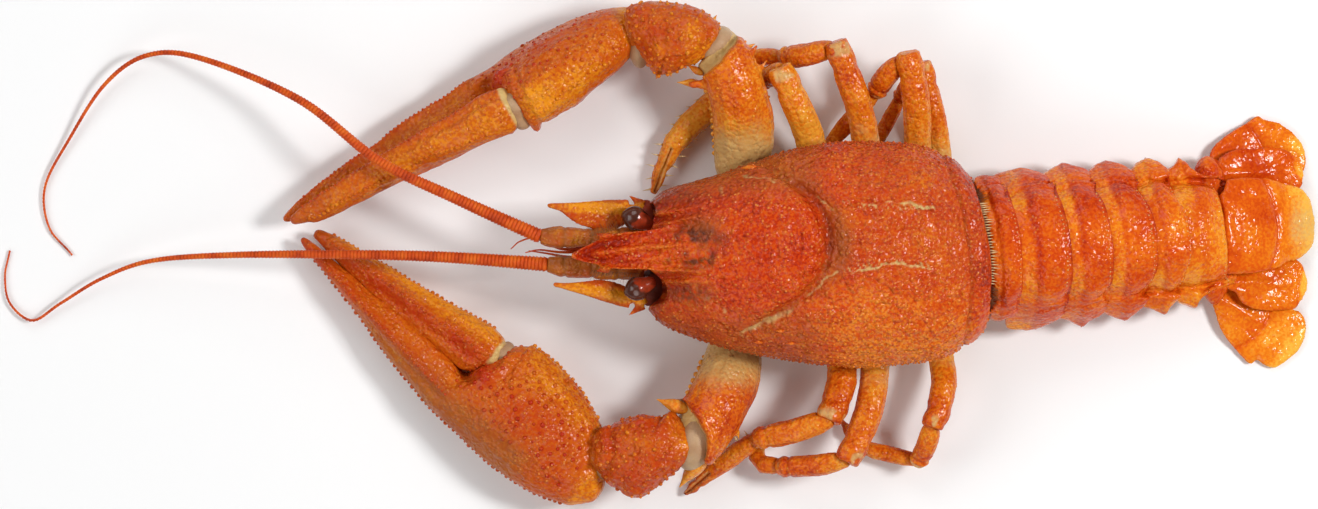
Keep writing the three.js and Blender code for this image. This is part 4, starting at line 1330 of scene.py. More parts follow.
class CRAYFISH_OT_fan(bpy.types.Operator):
    """Tail fan: the telson between two inner and two outer plates, and the knuckles that carry them"""

    bl_idname = "crayfish.fan"
    bl_label = "Tail fan"

    # The short knuckle that carries each pair of side plates: its middle and its radii
    KNUCKLES = {
        "right": ((96.5, 13.6, 5.0), (2.6, 3.8, 3.2)),
        "left": ((97.6, -4.9, 4.6), (2.4, 3.8, 3.0)),
    }

    def execute(self, context):
        for number, (node, facts) in enumerate(FAN.items()):
            self.plate(node, 70 + 10 * number, *facts)
        for number, (side, (centre, radii)) in enumerate(self.KNUCKLES.items()):
            knuckle = Shell.ball(centre, radii)
            knuckle.push(knuckle.rough(1.6, 130 + number) * 0.3)
            knuckle.mark("tone", 0.45 + 0.25 * knuckle.rough(2.0, 132 + number))
            knuckle.piece(f"{side}_fan_knuckle", Coat(look.tail.material, "tail_fan"))
        return {"FINISHED"}

    def plate(self, node, seed, root, tip, seam, gloss, base):
        shell = Shell.of_node(node, relief().fan_net / MM, 40, keep=1.0, grow=0.14)
        root, tip = np.array(root), np.array(tip)
        length = np.linalg.norm(tip - root)
        ahead = (tip - root) / length
        u = (shell.flat - root) @ ahead / length
        across = np.array([-ahead[1], ahead[0]])
        v = (shell.flat - root) @ across
        shell.points[:, :2] -= np.outer(relief().fan_root / MM * ease(0.35, 0, u), ahead)
        fit_outline(shell, *FAN_EDGES[node])
        if node == "telson":
            shell.lift(-2.2 * ease(0.15, 1.0, u))
        else:
            shell.lift(1.5 * ease(0.7, 0.0, u))
        up = ease(-0.2, 0.4, shell.tilt())
        bent = u + 0.003 * v * v
        height = 0.3 * bell(v, 0.8) * ease(0.95, 0.4, u) * (node != "telson")
        height += shell.rough(2.4, seed) * 0.16
        crease = bell((bent - seam) * length, 0.3)
        height += 0.15 * ease(0.0, 0.08, bent - seam) - 0.22 * crease
        fold = np.arctan2(v, (u + 0.5) * length) * 26 + 2.4 * shell.rough(2.2, seed + 1)
        height += 0.05 * np.sin(fold) * ease(gloss - 0.2, gloss + 0.1, u)
        grain = shell.grains((1.0, 0.7, 0.7), seed + 2, 0.65, 0.2)
        height += 0.08 * grain * ease(gloss, gloss + 0.2, u)
        shell.push(height * up)
        tone = base + 0.2 * ease(seam - 0.05, seam + 0.1, bent) + 0.2 * shell.rough(3.6, seed + 3)
        tone += 0.35 * ease(0.8, 1.0, u) - 0.16 * crease
        lobe = ease(0.58, 0.78, u) * (node == "telson")
        shell.mark("tone", tone + 0.3 * lobe)
        # Paler on the telson's rear lobe: partly its own yellow, partly a painted highlight
        shell.mark("pale", 0.5 * lobe * bell(v, 5.0))
        shell.piece(node + "_shell", look.fan, node)


# Claws

def claw_frame(side):
    """A claw's place, axes and size, and the flip that makes its outer edge positive."""
    claw = CLAWS[side]
    axes = np.array(Euler(claw["turn"]).to_matrix())
    return np.array(claw["position"]), axes, np.array(claw["size"]), np.array([1, claw["outer"], 1])


def claw_place(points, side):
    """Places in a claw's own frame: along it, towards its outer edge, and up from its flat."""
    position, axes, size, flip = claw_frame(side)
    return (points - position) @ axes / size * flip


def claw_world(places, side):
    """The reverse: places in a claw's own frame, put where the claw lies."""
    position, axes, size, flip = claw_frame(side)
    return (places * flip * size) @ axes.T + position


def rim_of(points, along, across, start, end, step):
    """The line along the edge of a shell: in each short stretch, the point furthest across."""
    line = []
    for place in np.arange(start, end, step):
        near = np.flatnonzero(np.abs(along - place) < step)
        if len(near):
            line.append(points[near[across[near].argmax()]])
    return np.array(line)


def calm(line, rounds=6):
    """A line without its small wiggles. Its ends stay."""
    line = line.copy()
    for _ in range(rounds):
        line[1:-1] = (line[:-2] + 2 * line[1:-1] + line[2:]) / 4
    return line


def crest_of(points, places, route):
    """The line on a shell's upper side that runs nearest to a route of places."""
    top = np.flatnonzero(places[:, 2] > 0.5)
    nearest = [np.hypot(*(places[top, :2] - place).T).argmin() for place in route]
    return points[top[nearest]]


class CRAYFISH_OT_claws(bpy.types.Operator):
    """Great claws with toothed edges, knobs, ridged fingers and the skin of their hinges"""

    bl_idname = "crayfish.claws"
    bl_label = "Great claws"

    # In a claw's own frame, the knob beside the hinge and the pit before it
    KNUCKLE = (25.4, -0.4)
    PIT = (27.9, 1.7)
    # The ground's tone, how brown the outer half is, where the palm's inner half turns amber and how
    # far, how amber the finger's inner edge is, and the radius of the palm's knobs
    SHADES = {
        "right": {"ground": 0.52, "brown": 0.15, "amber": (-5.5, -10, 1.0), "edge": 0.14, "knob": 0.3},
        "left": {"ground": 0.46, "brown": 0.62, "amber": (-1, -8, 0.65), "edge": 0.36, "knob": 0.38},
    }
    # Rows of beads: the piece, which of its edges, where along it the row starts and ends, and its tone
    ROWS = (
        ("palm_outer", "palm", 1, 1.0, 64.0, 0.4),
        ("palm_inner", "palm", -1, 5.0, 22.5, 0.9),
        ("finger_inner", "finger", -1, 30.0, 63.5, 0.75),
    )
    # The ridge along each finger
    CRESTS = {
        "palm": ((29, 6.4), (40, 4.9), (53, 2.9), (62, 1.3)),
        "finger": ((30.5, -3.2), (40, -2.8), (53, -2.4), (62, -2.0)),
    }
    # On the right claw, the palm's corner at the hinge and the finger's free edge: where its middle
    # line starts and ends, and the edge
    PALM_CORNER = (
        (-5.6, 36.1), (-23.2, 27),
        ((-13.5, 26.5), (-15.5, 25.4), (-18.3, 24), (-20, 23), (-21.2, 21.8)),
    )
    FINGER_EDGE = (
        (-26.8, 26.3), (-63.5, 5.7),
        (
            (-24.4, 21.4), (-25.6, 21), (-28.6, 20), (-31.7, 18.8), (-34.7, 17.4), (-37.7, 16.2),
            (-41.4, 14.6), (-49.9, 10.6), (-55.9, 7.7), (-60.2, 5.4),
        ),
    )

    def execute(self, context):
        for number, side in enumerate(SIDES):
            seed = 100 + 30 * number
            palm = self.palm(side, seed)
            finger = self.finger(side, seed + 10)
            self.teeth(side, seed + 20, palm, finger)
            self.hinge(side)
        return {"FINISHED"}

    def slide(self, shell, side, across=0.0, along=0.0, up=0.0):
        """Moves points across a claw to its outer edge, along it to its tip, and up from its flat."""
        _, axes, size, flip = claw_frame(side)
        moves = np.zeros_like(shell.points) + np.stack(np.broadcast_arrays(along, across, up), axis=-1)
        shell.points = shell.points + (moves * flip) @ (axes * size).T

    def palm(self, side, seed):
        """The palm with its fixed finger, whose tip is ridged."""
        node = f"{side}_claw_palm"
        shell = Shell.of_node(node, relief().claw_net / MM, 26, keep=0.35)
        x, y, z = claw_place(shell.points, side).T
        spine = 0.56 * np.interp(x, (28, 40, 53, 66), (10.6, 8.1, 4.5, 0.9)) + 0.4
        across = -0.9 * ease(29.5, 31.5, x) * ease(spine, spine - 2.5, y)
        along = -CLAWS[side]["hinge"] * ease(14, 24.5, x) * ease(36, 30, x) * ease(4.0, 0.5, y)
        self.slide(shell, side, across, along)
        if side == "right":
            fit_edge(shell, *self.PALM_CORNER)
        top = ease(-0.5, 0.5, z)
        finger = ease(26, 31, x)
        height = shell.rough(5, seed) * 0.25 + shell.rough(1.4, seed + 1) * 0.06
        height += (0.5 * bell(y - spine, 0.8) - 0.35 * bell(y - spine + 1.8, 0.8)) * finger
        height -= 0.25 * bell(y - spine - 1.6, 0.7) * finger
        height += 1.1 * spot(x, y, self.KNUCKLE, 1.4) * top
        height -= 0.6 * spot(x, y, self.PIT, 0.8, 1.4) * top
        lip = bell(x - 24.2 + 0.1 * (y + 5), 0.7) * ease(-1, -2.5, y)
        height += 0.5 * lip
        height -= 0.4 * bell(x - 22.7 + 0.1 * (y + 5), 0.6) * ease(-1, -2.5, y)
        height -= 0.5 * spot(x, y, (31, 4.5), 4.5) * top
        inner = ease(-2.0, -7.5, y) * ease(24.5, 21, x) * ease(0.5, 4, x)
        height += 0.16 * shell.grains(1.5, seed + 2) * (0.25 + 0.75 * inner) * (1 - finger)
        shell.push(height)
        shades = self.SHADES[side]
        first, last, share = shades["amber"]
        amber = share * ease(first, last, y)
        tone = shades["ground"] + 0.46 * amber * ease(30, 22, x) + 0.12 * shell.rough(6, seed + 3)
        tone += 0.12 * finger - 0.25 * bell(y - spine, 0.9) * finger
        tone -= 0.5 * spot(x, y, self.KNUCKLE, 1.9)
        tone -= 0.12 * spot(x, y, (14, 1), 3.4, 2)
        tone += 0.4 * ease(2.5, -0.5, x)
        shell.mark("tone", tone)
        shell.mark("dull", shades["brown"] * ease(2.5, 8, y) * ease(6, 14, x) * ease(58, 48, x))
        # Darker in the pit before the knob: painted shade
        shell.mark("dark", 0.25 * spot(x, y, self.PIT, 0.9, 1.6))
        strewn = 0.7 * (1 - finger) * ease(2, 4, x) * ease(8, 4, y)
        shell.marks["knobs"] = np.maximum(inner, strewn) * ease(-2, 0, z)
        shell.piece(node + "_shell", look.claw, node)
        return shell

    def finger(self, side, seed):
        """The finger that moves, ridged along its middle."""
        node = f"{side}_claw_finger"
        shell = Shell.of_node(node, relief().claw_net / MM, 16, keep=0.3)
        x, y, z = claw_place(shell.points, side).T
        middle = np.interp(x, (28, 40, 53, 65), (-3.4, -2.8, -2.4, -1.9))
        root = ease(34, 28.4, x)
        across = 0.5 * ease(middle, middle + 3, y) * ease(29, 31, x) - 0.7 * root * ease(-3, -6, y)
        along = -2.2 * root - CLAWS[side]["hinge"] * ease(46, 28.4, x)
        self.slide(shell, side, across, along, 0.9 * root * ease(0, 1.5, z))
        if side == "right":
            fit_edge(shell, *self.FINGER_EDGE)
        height = shell.rough(4, seed) * 0.2 + shell.rough(1.3, seed + 1) * 0.06
        height += 0.4 * bell(y - middle, 0.9) - 0.4 * bell(y - middle - 2.0, 0.7)
        height -= 0.3 * bell(y - middle + 1.9, 0.7)
        height += 0.5 * spot(x, y, (29.4, -1.0), 1.3)
        base = ease(33, 29, x)
        height += 0.12 * shell.grains(1.3, seed + 2) * (0.3 + 0.7 * base)
        shell.push(height)
        amber = self.SHADES[side]["edge"] * ease(0.2, -3.2, y - middle)
        tone = 0.56 - 0.36 * bell(y - middle - 1.2, 1.3) + amber
        shell.mark("tone", tone + 0.12 * shell.rough(5, seed + 3))
        # Pale at the finger's root: a painted highlight
        shell.mark("pale", 0.95 * ease(29.4, 28.6, x) * ease(-1.5, -3, y))
        shell.mark("dull", 0.25 * ease(50, 62, x))
        shell.marks["knobs"] = 0.5 * base * ease(-1, 0.5, z) * ease(28.8, 30, x)
        shell.piece(node + "_shell", look.claw, node)
        return shell

    def teeth(self, side, seed, palm, finger):
        """Beads along the edges and the crests, and knobs on the palm and the finger."""
        shells = {"palm": palm, "finger": finger}
        for number, (row, piece, sign, start, end, tone) in enumerate(self.ROWS):
            points = shells[piece].points
            local = claw_place(points, side)
            line = calm(rim_of(points, local[:, 0], sign * local[:, 1], start, end, 0.8))
            bead_row(
                f"{side}_{row}_teeth", line, {"tone": tone}, look.claw,
                seed + number, relief().bead_spacing, relief().bead_radius,
            )
        reds = -0.4 * ease(1.0, 0.45, palm.marks["tone"])
        size = self.SHADES[side]["knob"]
        strew(f"{side}_palm_knobs", palm, reds, look.claw, seed + 7, 1.3, size, 0.7 * size)
        strew(f"{side}_finger_knobs", finger, -0.2, look.claw, seed + 8, 1.4, 0.26, 0.22)
        for number, (piece, route) in enumerate(self.CRESTS.items()):
            points = shells[piece].points
            line = crest_of(points, claw_place(points, side), through(route, 0.8))
            bead_row(
                f"{side}_{piece}_crest_beads", line, {"tone": 0.35}, look.claw,
                seed + 11 + number, relief().crest_spacing, relief().crest_radius,
            )

    def hinge(self, side):
        """The pale skin between the palm and the finger that moves."""
        skin = Shell.ball((0, 0, 0), (1, 1, 1))
        x, y, z = skin.points.T
        level = np.sign(z) * np.abs(z) ** 0.6
        middle = 25.6 - CLAWS[side]["hinge"]
        base, tall = CLAWS[side]["skin"]
        height = base + tall * level - y * y - 0.3 * x
        places = np.stack([middle + 2.0 * x, -4.6 + 3.0 * y, height], axis=1)
        skin.points = claw_world(places, side)
        if CLAWS[side]["outer"] < 0:
            skin.faces = skin.faces[:, ::-1]
        skin.push(skin.rough(1.2, 171) * 0.15)
        skin.mark("dull", 0.45 + 0.3 * skin.rough(2.0, 172))
        skin.piece(f"{side}_claw_hinge_skin", look.skin)


# Limbs

def limb_share(points, start, end):
    """How far each point lies along a limb piece, from 0 to 1."""
    axis = np.array(end) - np.array(start)
    return np.clip((points - np.array(start)) @ axis / (axis @ axis), 0, 1)


def far_ends(points, near):
    """The middle of a piece's end next to a place, and of its far end."""
    gaps = np.linalg.norm(points - np.array(near), axis=1)
    start = points[gaps < gaps.min() + 1.5].mean(axis=0)
    reach = np.linalg.norm(points - start, axis=1)
    return start, points[reach > reach.max() - 1.5].mean(axis=0)


# First a place inside each wrist, then its outline from above
WRISTS = {
    "right": (
        (2.5, 38.6), (-5.9, 39), (-6.2, 41.5), (-5.4, 43.2), (-2.6, 43.9), (0.4, 44.1), (4, 43.8), (7, 43),
        (9.5, 41.2), (11, 39.5), (10.8, 38), (9, 35.7), (6.5, 33.4), (5, 32.9), (2.9, 31.9), (1.4, 31.6),
        (-0.4, 31.5), (-1.6, 32.6), (-2.9, 34.4), (-4.7, 36.4), (-5.6, 38.2),
    ),
    "left": (
        (-3.5, -35), (-12.3, -35.6), (-11.9, -33.4), (-11.3, -31.6), (-9.6, -29.9), (-7, -29), (-3.2, -28),
        (0, -28.2), (2, -27.4), (3.2, -28.2), (4.8, -30.5), (5.8, -33), (5.5, -35), (3.8, -37.2),
        (1.5, -39.2), (-1, -41.2), (-3.5, -42.4), (-5.5, -42.1), (-7, -41), (-9.5, -39.7), (-10.6, -38.2),
        (-12.1, -36.6),
    ),
}


class CRAYFISH_OT_arms(bpy.types.Operator):
    """Arms of the great claws: pale at the body, spiny at the elbow, with a knobbly wrist"""

    bl_idname = "crayfish.arms"
    bl_label = "Arms"

    # Tone of each upper arm and of each wrist
    TONES = {"right": (0.5, 0.54), "left": (0.3, 0.38)}
    # How far out the teeth along each arm's front edge reach, and their spacing and size
    TEETH_END = {"right": 28.6, "left": 24.2}
    TOOTH_SPACING = 1.15
    TOOTH_RADIUS = 0.45
    # Thorns round each elbow and wrist: middle, radii and heading
    SPURS = {
        "right": (
            ((5.3, 30, 12), (2.2, 0.8, 1.2), 3.1),
            ((6.3, 32.3, 12.6), (1.7, 0.7, 1.1), 2.6),
            ((-0.1, 31.9, 11), (1.3, 0.6, 0.8), -1.9),
            ((2.1, 32.3, 11), (1.3, 0.6, 0.8), -1.6),
            ((9.4, 40.8, 11), (1.3, 0.6, 0.8), 1),
            ((15.6, 36.2, 11.5), (1.4, 0.6, 0.8), 0.5),
        ),
        "left": (
            ((2.4, -26.3, 12), (3, 1.3, 1.8), 2.8),
            ((6, -37.4, 10), (4.2, 1.8, 3), -2.2),
            ((13.7, -31.2, 10.5), (1.2, 0.5, 0.7), -1.3),
            ((10.4, -34.2, 10.5), (1.2, 0.5, 0.7), -1.2),
        ),
    }
    # Each joint's skin: its middle, its radii, how it is turned and how brown it is
    SKINS = {
        "right": (
            ("elbow", (9.8, 36.8, 12.0), (3.7, 2.6, 3.8), 0.8, 0.2),
            ("wrist", (-3.4, 36.4, 10.0), (2.0, 3.8, 3.2), 0.0, 0.35),
        ),
        "left": (
            ("elbow", (6.3, -33.0, 11.8), (3.2, 5.0, 3.9), -0.3, 0.35),
            ("wrist", (-9.6, -36.6, 9.0), (1.8, 3.0, 3.0), -0.2, 0.7),
        ),
    }
    # On the left wrist, the furrow behind its front lobe and the hollow beside it
    FURROW = ((-8.6, -29.0), (-8.3, -33.1), (-9.2, -38.5))
    HOLLOW = (-5.2, -34.4)

    def execute(self, context):
        for number, side in enumerate(SIDES):
            seed = 200 + 20 * number
            self.upper(side, seed)
            self.wrist(side, seed + 10)
            self.skins(side)
            self.spurs(side)
        return {"FINISHED"}

    def upper(self, side, seed):
        """The upper arm, sunk under the skin of the elbow, with teeth along its front edge."""
        node = f"{side}_arm_upper"
        shell = Shell.of_node(node, relief().limb_net / MM, 14, grow=0.08)
        out = np.abs(shell.points[:, 1])
        flat = np.array([1, 1, 0])
        wrist = Shell.of_node(f"{side}_arm_wrist", 0.6, 2)
        fit_outline(wrist, *WRISTS[side])
        gap = gap_to(shell.points * flat, wrist.points * flat)
        skin = ease(2.8, 2.2, gap) * ease(7, 11, shell.points[:, 2])
        height = shell.rough(4, seed) * 0.2 + shell.rough(1.4, seed + 1) * 0.06
        height += 0.35 * bell(gap - 3.3, 0.5) * (1 - skin)
        shell.push(height)
        shell.lift(-3.2 * skin)
        blotch = shell.rough(3, seed + 2)
        shell.mark("tone", self.TONES[side][0] + 0.2 * blotch + 0.35 * ease(26, 20, out))
        shell.mark("pale", 0.7 * ease(27, 17, out + 2.0 * blotch) + 0.8 * skin)
        shell.mark("dull", 0.5 * ease(24, 16, out) + 0.4 * skin)
        shell.marks["knobs"] = 0.3 * ease(24, 29, out) * (1 - skin) * ease(5, 9, shell.points[:, 2])
        shell.piece(node + "_shell", look.leg, node)
        strew(f"{side}_arm_knobs", shell, 0.3, look.leg, seed + 5, 1.5, 0.28, 0.3)
        line = rim_of(shell.points, out, -shell.points[:, 0], 17, self.TEETH_END[side], 0.9)
        bead_row(
            f"{side}_arm_teeth", line, {"tone": 0.95, "pale": 0.25}, look.leg,
            seed + 6, self.TOOTH_SPACING * MM, self.TOOTH_RADIUS * MM,
        )

    def spurs(self, side):
        """Thorns at the corners of the elbow and the wrist."""
        for number, place in enumerate(self.SPURS[side]):
            spur = thorn(*place)
            spur.mark("tone", 0.85 + 0.2 * spur.rough(1.5, 193))
            spur.mark("pale", 0.2)
            spur.piece(f"{side}_elbow_thorn_{number + 1}", look.leg)

    def skins(self, side):
        """The pale skin of the elbow and of the wrist."""
        for joint, centre, radii, turn, dull in self.SKINS[side]:
            skin = Shell.ball(centre, radii, (0, 0, turn))
            skin.push(skin.rough(1.4, 191) * 0.15)
            skin.mark("dull", dull + 0.3 * skin.rough(2.0, 192))
            skin.piece(f"{side}_{joint}_skin", look.skin)

    def wrist(self, side, seed):
        """The knobbly wrist, creased round the palm."""
        node = f"{side}_arm_wrist"
        shell = Shell.of_node(node, relief().limb_net / MM, 10, grow=0.08)
        fit_outline(shell, *WRISTS[side])
        palm = gap_to(shell.points, Shell.of_node(f"{side}_claw_palm", 0.7, 2).points)
        upper = gap_to(shell.points, Shell.of_node(f"{side}_arm_upper", 0.6, 2).points)
        height = shell.rough(3.6, seed) * 0.25 + shell.rough(1.3, seed + 1) * 0.08
        height += 0.16 * shell.grains(1.5, seed + 2)
        height -= 0.35 * bell(palm - 1.0, 0.5)
        flat = shell.flat
        if side == "left":
            height -= 0.55 * bell(away(flat, through(self.FURROW))[0], 0.6)
            height -= 0.8 * bell(np.hypot(*((flat - self.HOLLOW) / (1.6, 1.0)).T), 1.6)
        shell.push(height)
        tone = self.TONES[side][1] + 0.22 * shell.rough(3, seed + 3)
        shell.mark("tone", tone + 0.25 * ease(2.5, 0.6, upper))
        shell.mark("dull", 0.35 * ease(1.8, 0.6, palm))
        free = 0.8 * ease(1.2, 2.5, upper) * ease(1.0, 2.2, palm)
        shell.marks["knobs"] = free * ease(7, 10, shell.points[:, 2])
        shell.piece(node + "_shell", look.claw, node)
        strew(f"{side}_wrist_knobs", shell, 0.28, look.claw, seed + 5, 1.5, 0.36, 0.38)


# Slits between the fingers of the small pincers that end the first pair of legs
PINCERS = {
    "right_leg_1_foot": ((2.0, 18.4), (0.6, 14.6), (-0.6, 11.0)),
    "left_leg_1_foot": ((8.6, -38.6), (6.6, -40.4), (4.6, -42.2)),
}
LEG_PIECES = ("thigh", "shin", "foot")


class CRAYFISH_OT_legs(bpy.types.Operator):
    """Eight walking legs, cream at the body and red at the knees"""

    bl_idname = "crayfish.legs"
    bl_label = "Walking legs"

    # Legs that are yellower than the others
    YELLOWER = {"right_leg_1": 0.36, "right_leg_3": 0.1}

    def execute(self, context):
        for side in SIDES:
            for number in range(1, 5):
                self.leg(f"{side}_leg_{number}", 300 + 20 * number + (side == "left") * 100)
        return {"FINISHED"}

    def leg(self, name, seed):
        """One leg from the body out, each piece darker where it leaves the one before."""
        forms = {piece: node_points(f"{name}_{piece}") for piece in LEG_PIECES}
        near = forms["thigh"][np.abs(forms["thigh"][:, 1]).argmin()]
        for order, piece in enumerate(LEG_PIECES):
            node = f"{name}_{piece}"
            shell = Shell.of_node(node, relief().leg_net / MM, 12, grow=0.1)
            start, end = far_ends(shell.points, near)
            share = limb_share(shell.points, start, end)
            self.surface(shell, seed + 5 * order, share)
            if order:
                before = Shell.of_node(f"{name}_{LEG_PIECES[order - 1]}", 0.5, 2).points
                shell.mark("dull", 0.3 * ease(1.2, 0.4, gap_to(shell.points, before)))
            getattr(self, piece)(shell, seed + 5 * order, share)
            shell.mark("tone", self.YELLOWER.get(name, 0.0))
            if node in PINCERS:
                self.pincer(shell, PINCERS[node])
            shell.piece(node + "_shell", look.leg, node)
            near = end

    def surface(self, shell, seed, share):
        """An uneven shell with a rim round its far end."""
        height = shell.rough(2.6, seed) * 0.09 + shell.rough(1.0, seed + 1) * 0.04
        height += 0.22 * bell(share - 0.94, 0.05) - 0.2 * bell(share - 0.86, 0.03)
        shell.push(height)

    def thigh(self, shell, seed, share):
        """Cream at the body, red at the knee."""
        blotch = shell.rough(2.2, seed + 2)
        top = ease(-0.1, 0.6, shell.tilt())
        patch = ease(-0.1, 0.5, shell.rough(1.3, seed + 3)) * top
        shell.mark("tone", 0.8 - 0.45 * ease(0.3, 0.9, share + 0.12 * blotch) + 0.25 * blotch)
        shell.mark("pale", 0.55 * ease(0.75, 0.2, share + 0.15 * blotch))
        shell.mark("pale", 0.6 * ease(0.9, 0.97, share) * patch)
        shell.mark("dull", 0.3 * ease(0.3, 0.1, share))

    def shin(self, shell, seed, share):
        """Blotched, with pale patches at its far end."""
        blotch = shell.rough(2.0, seed + 2)
        patch = ease(-0.1, 0.5, shell.rough(1.3, seed + 3))
        shell.mark("tone", 0.4 + 0.3 * blotch + 0.2 * bell(share - 0.1, 0.12))
        shell.mark("pale", 0.55 * ease(0.92, 0.98, share) * patch)

    def foot(self, shell, seed, share):
        """Darker and duller towards its tip."""
        blotch = shell.rough(2.0, seed + 2)
        shell.mark("tone", 0.5 + 0.24 * blotch - 0.25 * ease(0.6, 1.0, share))
        shell.mark("dull", 0.25 * ease(0.5, 1.0, share))

    def pincer(self, shell, slit):
        """The slit between two small fingers, pale along its edges and dark inside as painted shade."""
        gap, _ = away(shell.flat, through(slit, 0.3))
        top = ease(0.0, 0.5, shell.tilt())
        shell.push(-0.8 * bell(gap, 0.28) * top)
        shell.mark("pale", 0.5 * bell(gap - 0.35, 0.2) * top)
        # Dark in the slit: painted shade
        shell.mark("dark", 0.4 * bell(gap, 0.2) * top)


# Hairs

class CRAYFISH_OT_bristles(bpy.types.Operator):
    """Comb and tufts behind the carapace, hairs beside the eyes and bristles on the small pincers"""

    bl_idname = "crayfish.bristles"
    bl_label = "Bristles"

    # Kinds of hair: how far apart, how thick and how long they are, and how far they stray
    COMB = {"spacing": 0.5 * MM, "radius": 0.2 * MM, "length": 1.6 * MM, "spread": 0.12}
    TUFT = {"spacing": 0.1 * MM, "radius": 0.06 * MM, "length": 2.4 * MM, "spread": 0.35}
    LASH = {"spacing": 0.22 * MM, "radius": 0.06 * MM, "length": 2.2 * MM, "spread": 0.25}
    BRISTLE = {"spacing": 1.9 * MM, "radius": 0.22 * MM, "length": 1.6 * MM, "spread": 0.3}
    # Where across the neck the comb and each tuft start and end
    COMB_ENDS = (8.8, -5.0)
    TUFT_ENDS = ((9.2, 12.8), (-5.4, -10.2))
    # Edges of the small pincers that carry bristles, and the way out from each
    PINCER_EDGES = (
        ("right_leg_1_foot", -1.0, 0.0),
        ("right_leg_1_foot", 1.0, 0.0),
        ("left_leg_1_foot", -0.66, 0.75),
    )
    # Along the beak's edge before each eye, and the way the hairs lean
    EYE_HAIRS = {
        "right": (((-11.5, 3.2, 18.8), (-8.5, 4.0, 19.2), (-6.2, 4.4, 19.6)), (-0.35, 1.0, -0.1)),
        "left": (((-11.5, -2.7, 18.8), (-7.5, -3.0, 19.2), (-3.4, -3.2, 19.6)), (-0.35, -1.0, -0.1)),
    }

    def execute(self, context):
        line = self.neck_line(*self.COMB_ENDS, 60, 0.5)
        y = line[:, 1]
        lay = np.stack([np.ones_like(y), 0.02 * (y - 1), 0.1 - 0.012 * np.abs(y - 1)], axis=1)
        self.hairs("neck_comb", line, lay, look.bristle, 3, self.COMB)
        for number, ends in enumerate(self.TUFT_ENDS):
            line = self.neck_line(*ends, 20, 0.4)
            y = line[:, 1]
            lay = np.stack([np.ones_like(y), 0.3 * np.sign(y), -0.2 * np.ones_like(y)], axis=1)
            self.hairs(f"neck_tuft_{number + 1}", line, lay, look.hair, 21 + number, self.TUFT)
        for number, (side, (route, lean)) in enumerate(self.EYE_HAIRS.items()):
            line = through(route, 0.4)
            lay = np.tile(lean, (len(line), 1))
            self.hairs(f"{side}_eye_hairs", line, lay, look.hair, 7 + number, self.LASH)
        coat = Coat(look.bristle.material, "leg_shell")
        for number, (node, *outward) in enumerate(self.PINCER_EDGES):
            points = Shell.of_node(node, 0.3, 6, grow=0.05).points
            across = points[:, :2] @ np.array(outward)
            along = points[:, :2] @ np.array((-outward[1], outward[0]))
            line = calm(rim_of(points, along, across, along.min() + 0.8, along.max() - 0.8, 0.6), 2)
            lay = np.tile((*outward, 0.2), (len(line), 1))
            self.hairs(f"pincer_bristles_{number + 1}", line, lay, coat, 31 + number, self.BRISTLE)
        return {"FINISHED"}

    def hairs(self, name, line, lay, coat, seed, kind):
        """Grows hairs of one kind along a line."""
        mesh = line_mesh(name + "_line", line, lay=lay)
        bristle_tree().grow(name, mesh, coat, seed=seed, **kind)

    def neck_line(self, low, high, count, above):
        """A line across the neck under the carapace's rim, that far above the first ring."""
        y = np.linspace(low, high, count)
        x = rim_x(y) - 0.1
        z = surface_heights("tail_ring_1", zip(x + 1.2, y)) + above
        return np.stack([x, y, z], axis=1)


# Stage

class CRAYFISH_OT_stage(bpy.types.Operator):
    """Pale floor, soft studio light and the camera straight above"""

    bl_idname = "crayfish.stage"
    bl_label = "Stage"

    # Each light: its place and size in metres, and its power
    LIGHTS = (
        ("key_light", (0.42, 0.06, 0.5), 0.13, "key_power"),
        ("right_light", (-0.1, 0.5, 0.45), 0.4, "side_power"),
        ("left_light", (-0.1, -0.5, 0.45), 0.4, "side_power"),
        ("front_light", (-0.5, 0.0, 0.4), 0.4, "side_power"),
    )

    def execute(self, context):
        setup = context.scene.crayfish_stage
        self.floor(setup)
        self.sky(context.scene, setup)
        for name, place, size, power in self.LIGHTS:
            lamp = bpy.data.lights.new(name, "AREA")
            lamp.size = size
            lamp.energy = getattr(setup, power)
            light = bpy.data.objects.new(name, lamp)
            light.location = place
            light.rotation_euler = (-Vector(place)).to_track_quat("-Z", "Y").to_euler()
            light.visible_camera = False
            context.scene.collection.objects.link(light)
        self.camera(context.scene, setup)
        context.scene.view_settings.view_transform = "Standard"
        return {"FINISHED"}

    def floor(self, setup):
        mesh = bpy.data.meshes.new("floor")
        reach = setup.floor_reach
        corners = [(-reach, -reach, 0), (reach, -reach, 0), (reach, reach, 0), (-reach, reach, 0)]
        mesh.from_pydata(corners, [], [(0, 1, 2, 3)])
        f = Finish("floor_paper")
        light = (*setup.floor_colour, 1.0)
        shaded = tuple(c * 0.985 for c in setup.floor_colour)
        colour = f.blend(f.noise(40), light, (*shaded, 1.0))
        mesh.materials.append(f.close(colour, 0.75 + f.noise(8) * 0.1, f.noise(1.0), 0.01))
        stand("floor", mesh)

    def sky(self, scene, setup):
        world = bpy.data.worlds.new("studio")
        world.use_nodes = True
        back = world.node_tree.nodes["Background"]
        back.inputs["Color"].default_value = (1, 1, 1, 1)
        back.inputs["Strength"].default_value = setup.sky_strength
        scene.world = world

    def camera(self, scene, setup):
        lens = bpy.data.cameras.new("camera")
        lens.lens = setup.lens
        lens.sensor_width = setup.sensor
        camera = bpy.data.objects.new("camera", lens)
        distance = setup.frame_width * setup.lens / setup.sensor
        camera.location = (0, 0, setup.focus_height + distance)
        lens.clip_end = 2 * distance
        scene.collection.objects.link(camera)
        scene.camera = camera


# Settings

def colour_property(name, note, *display):
    return FloatVectorProperty(
        name=name, description=note, subtype="COLOR", size=3, min=0, max=1, default=srgb(*display)
    )


def length_property(name, note, millimetres):
    return FloatProperty(
        name=name, description=note, unit="LENGTH", precision=5, min=0, default=millimetres * MM
    )


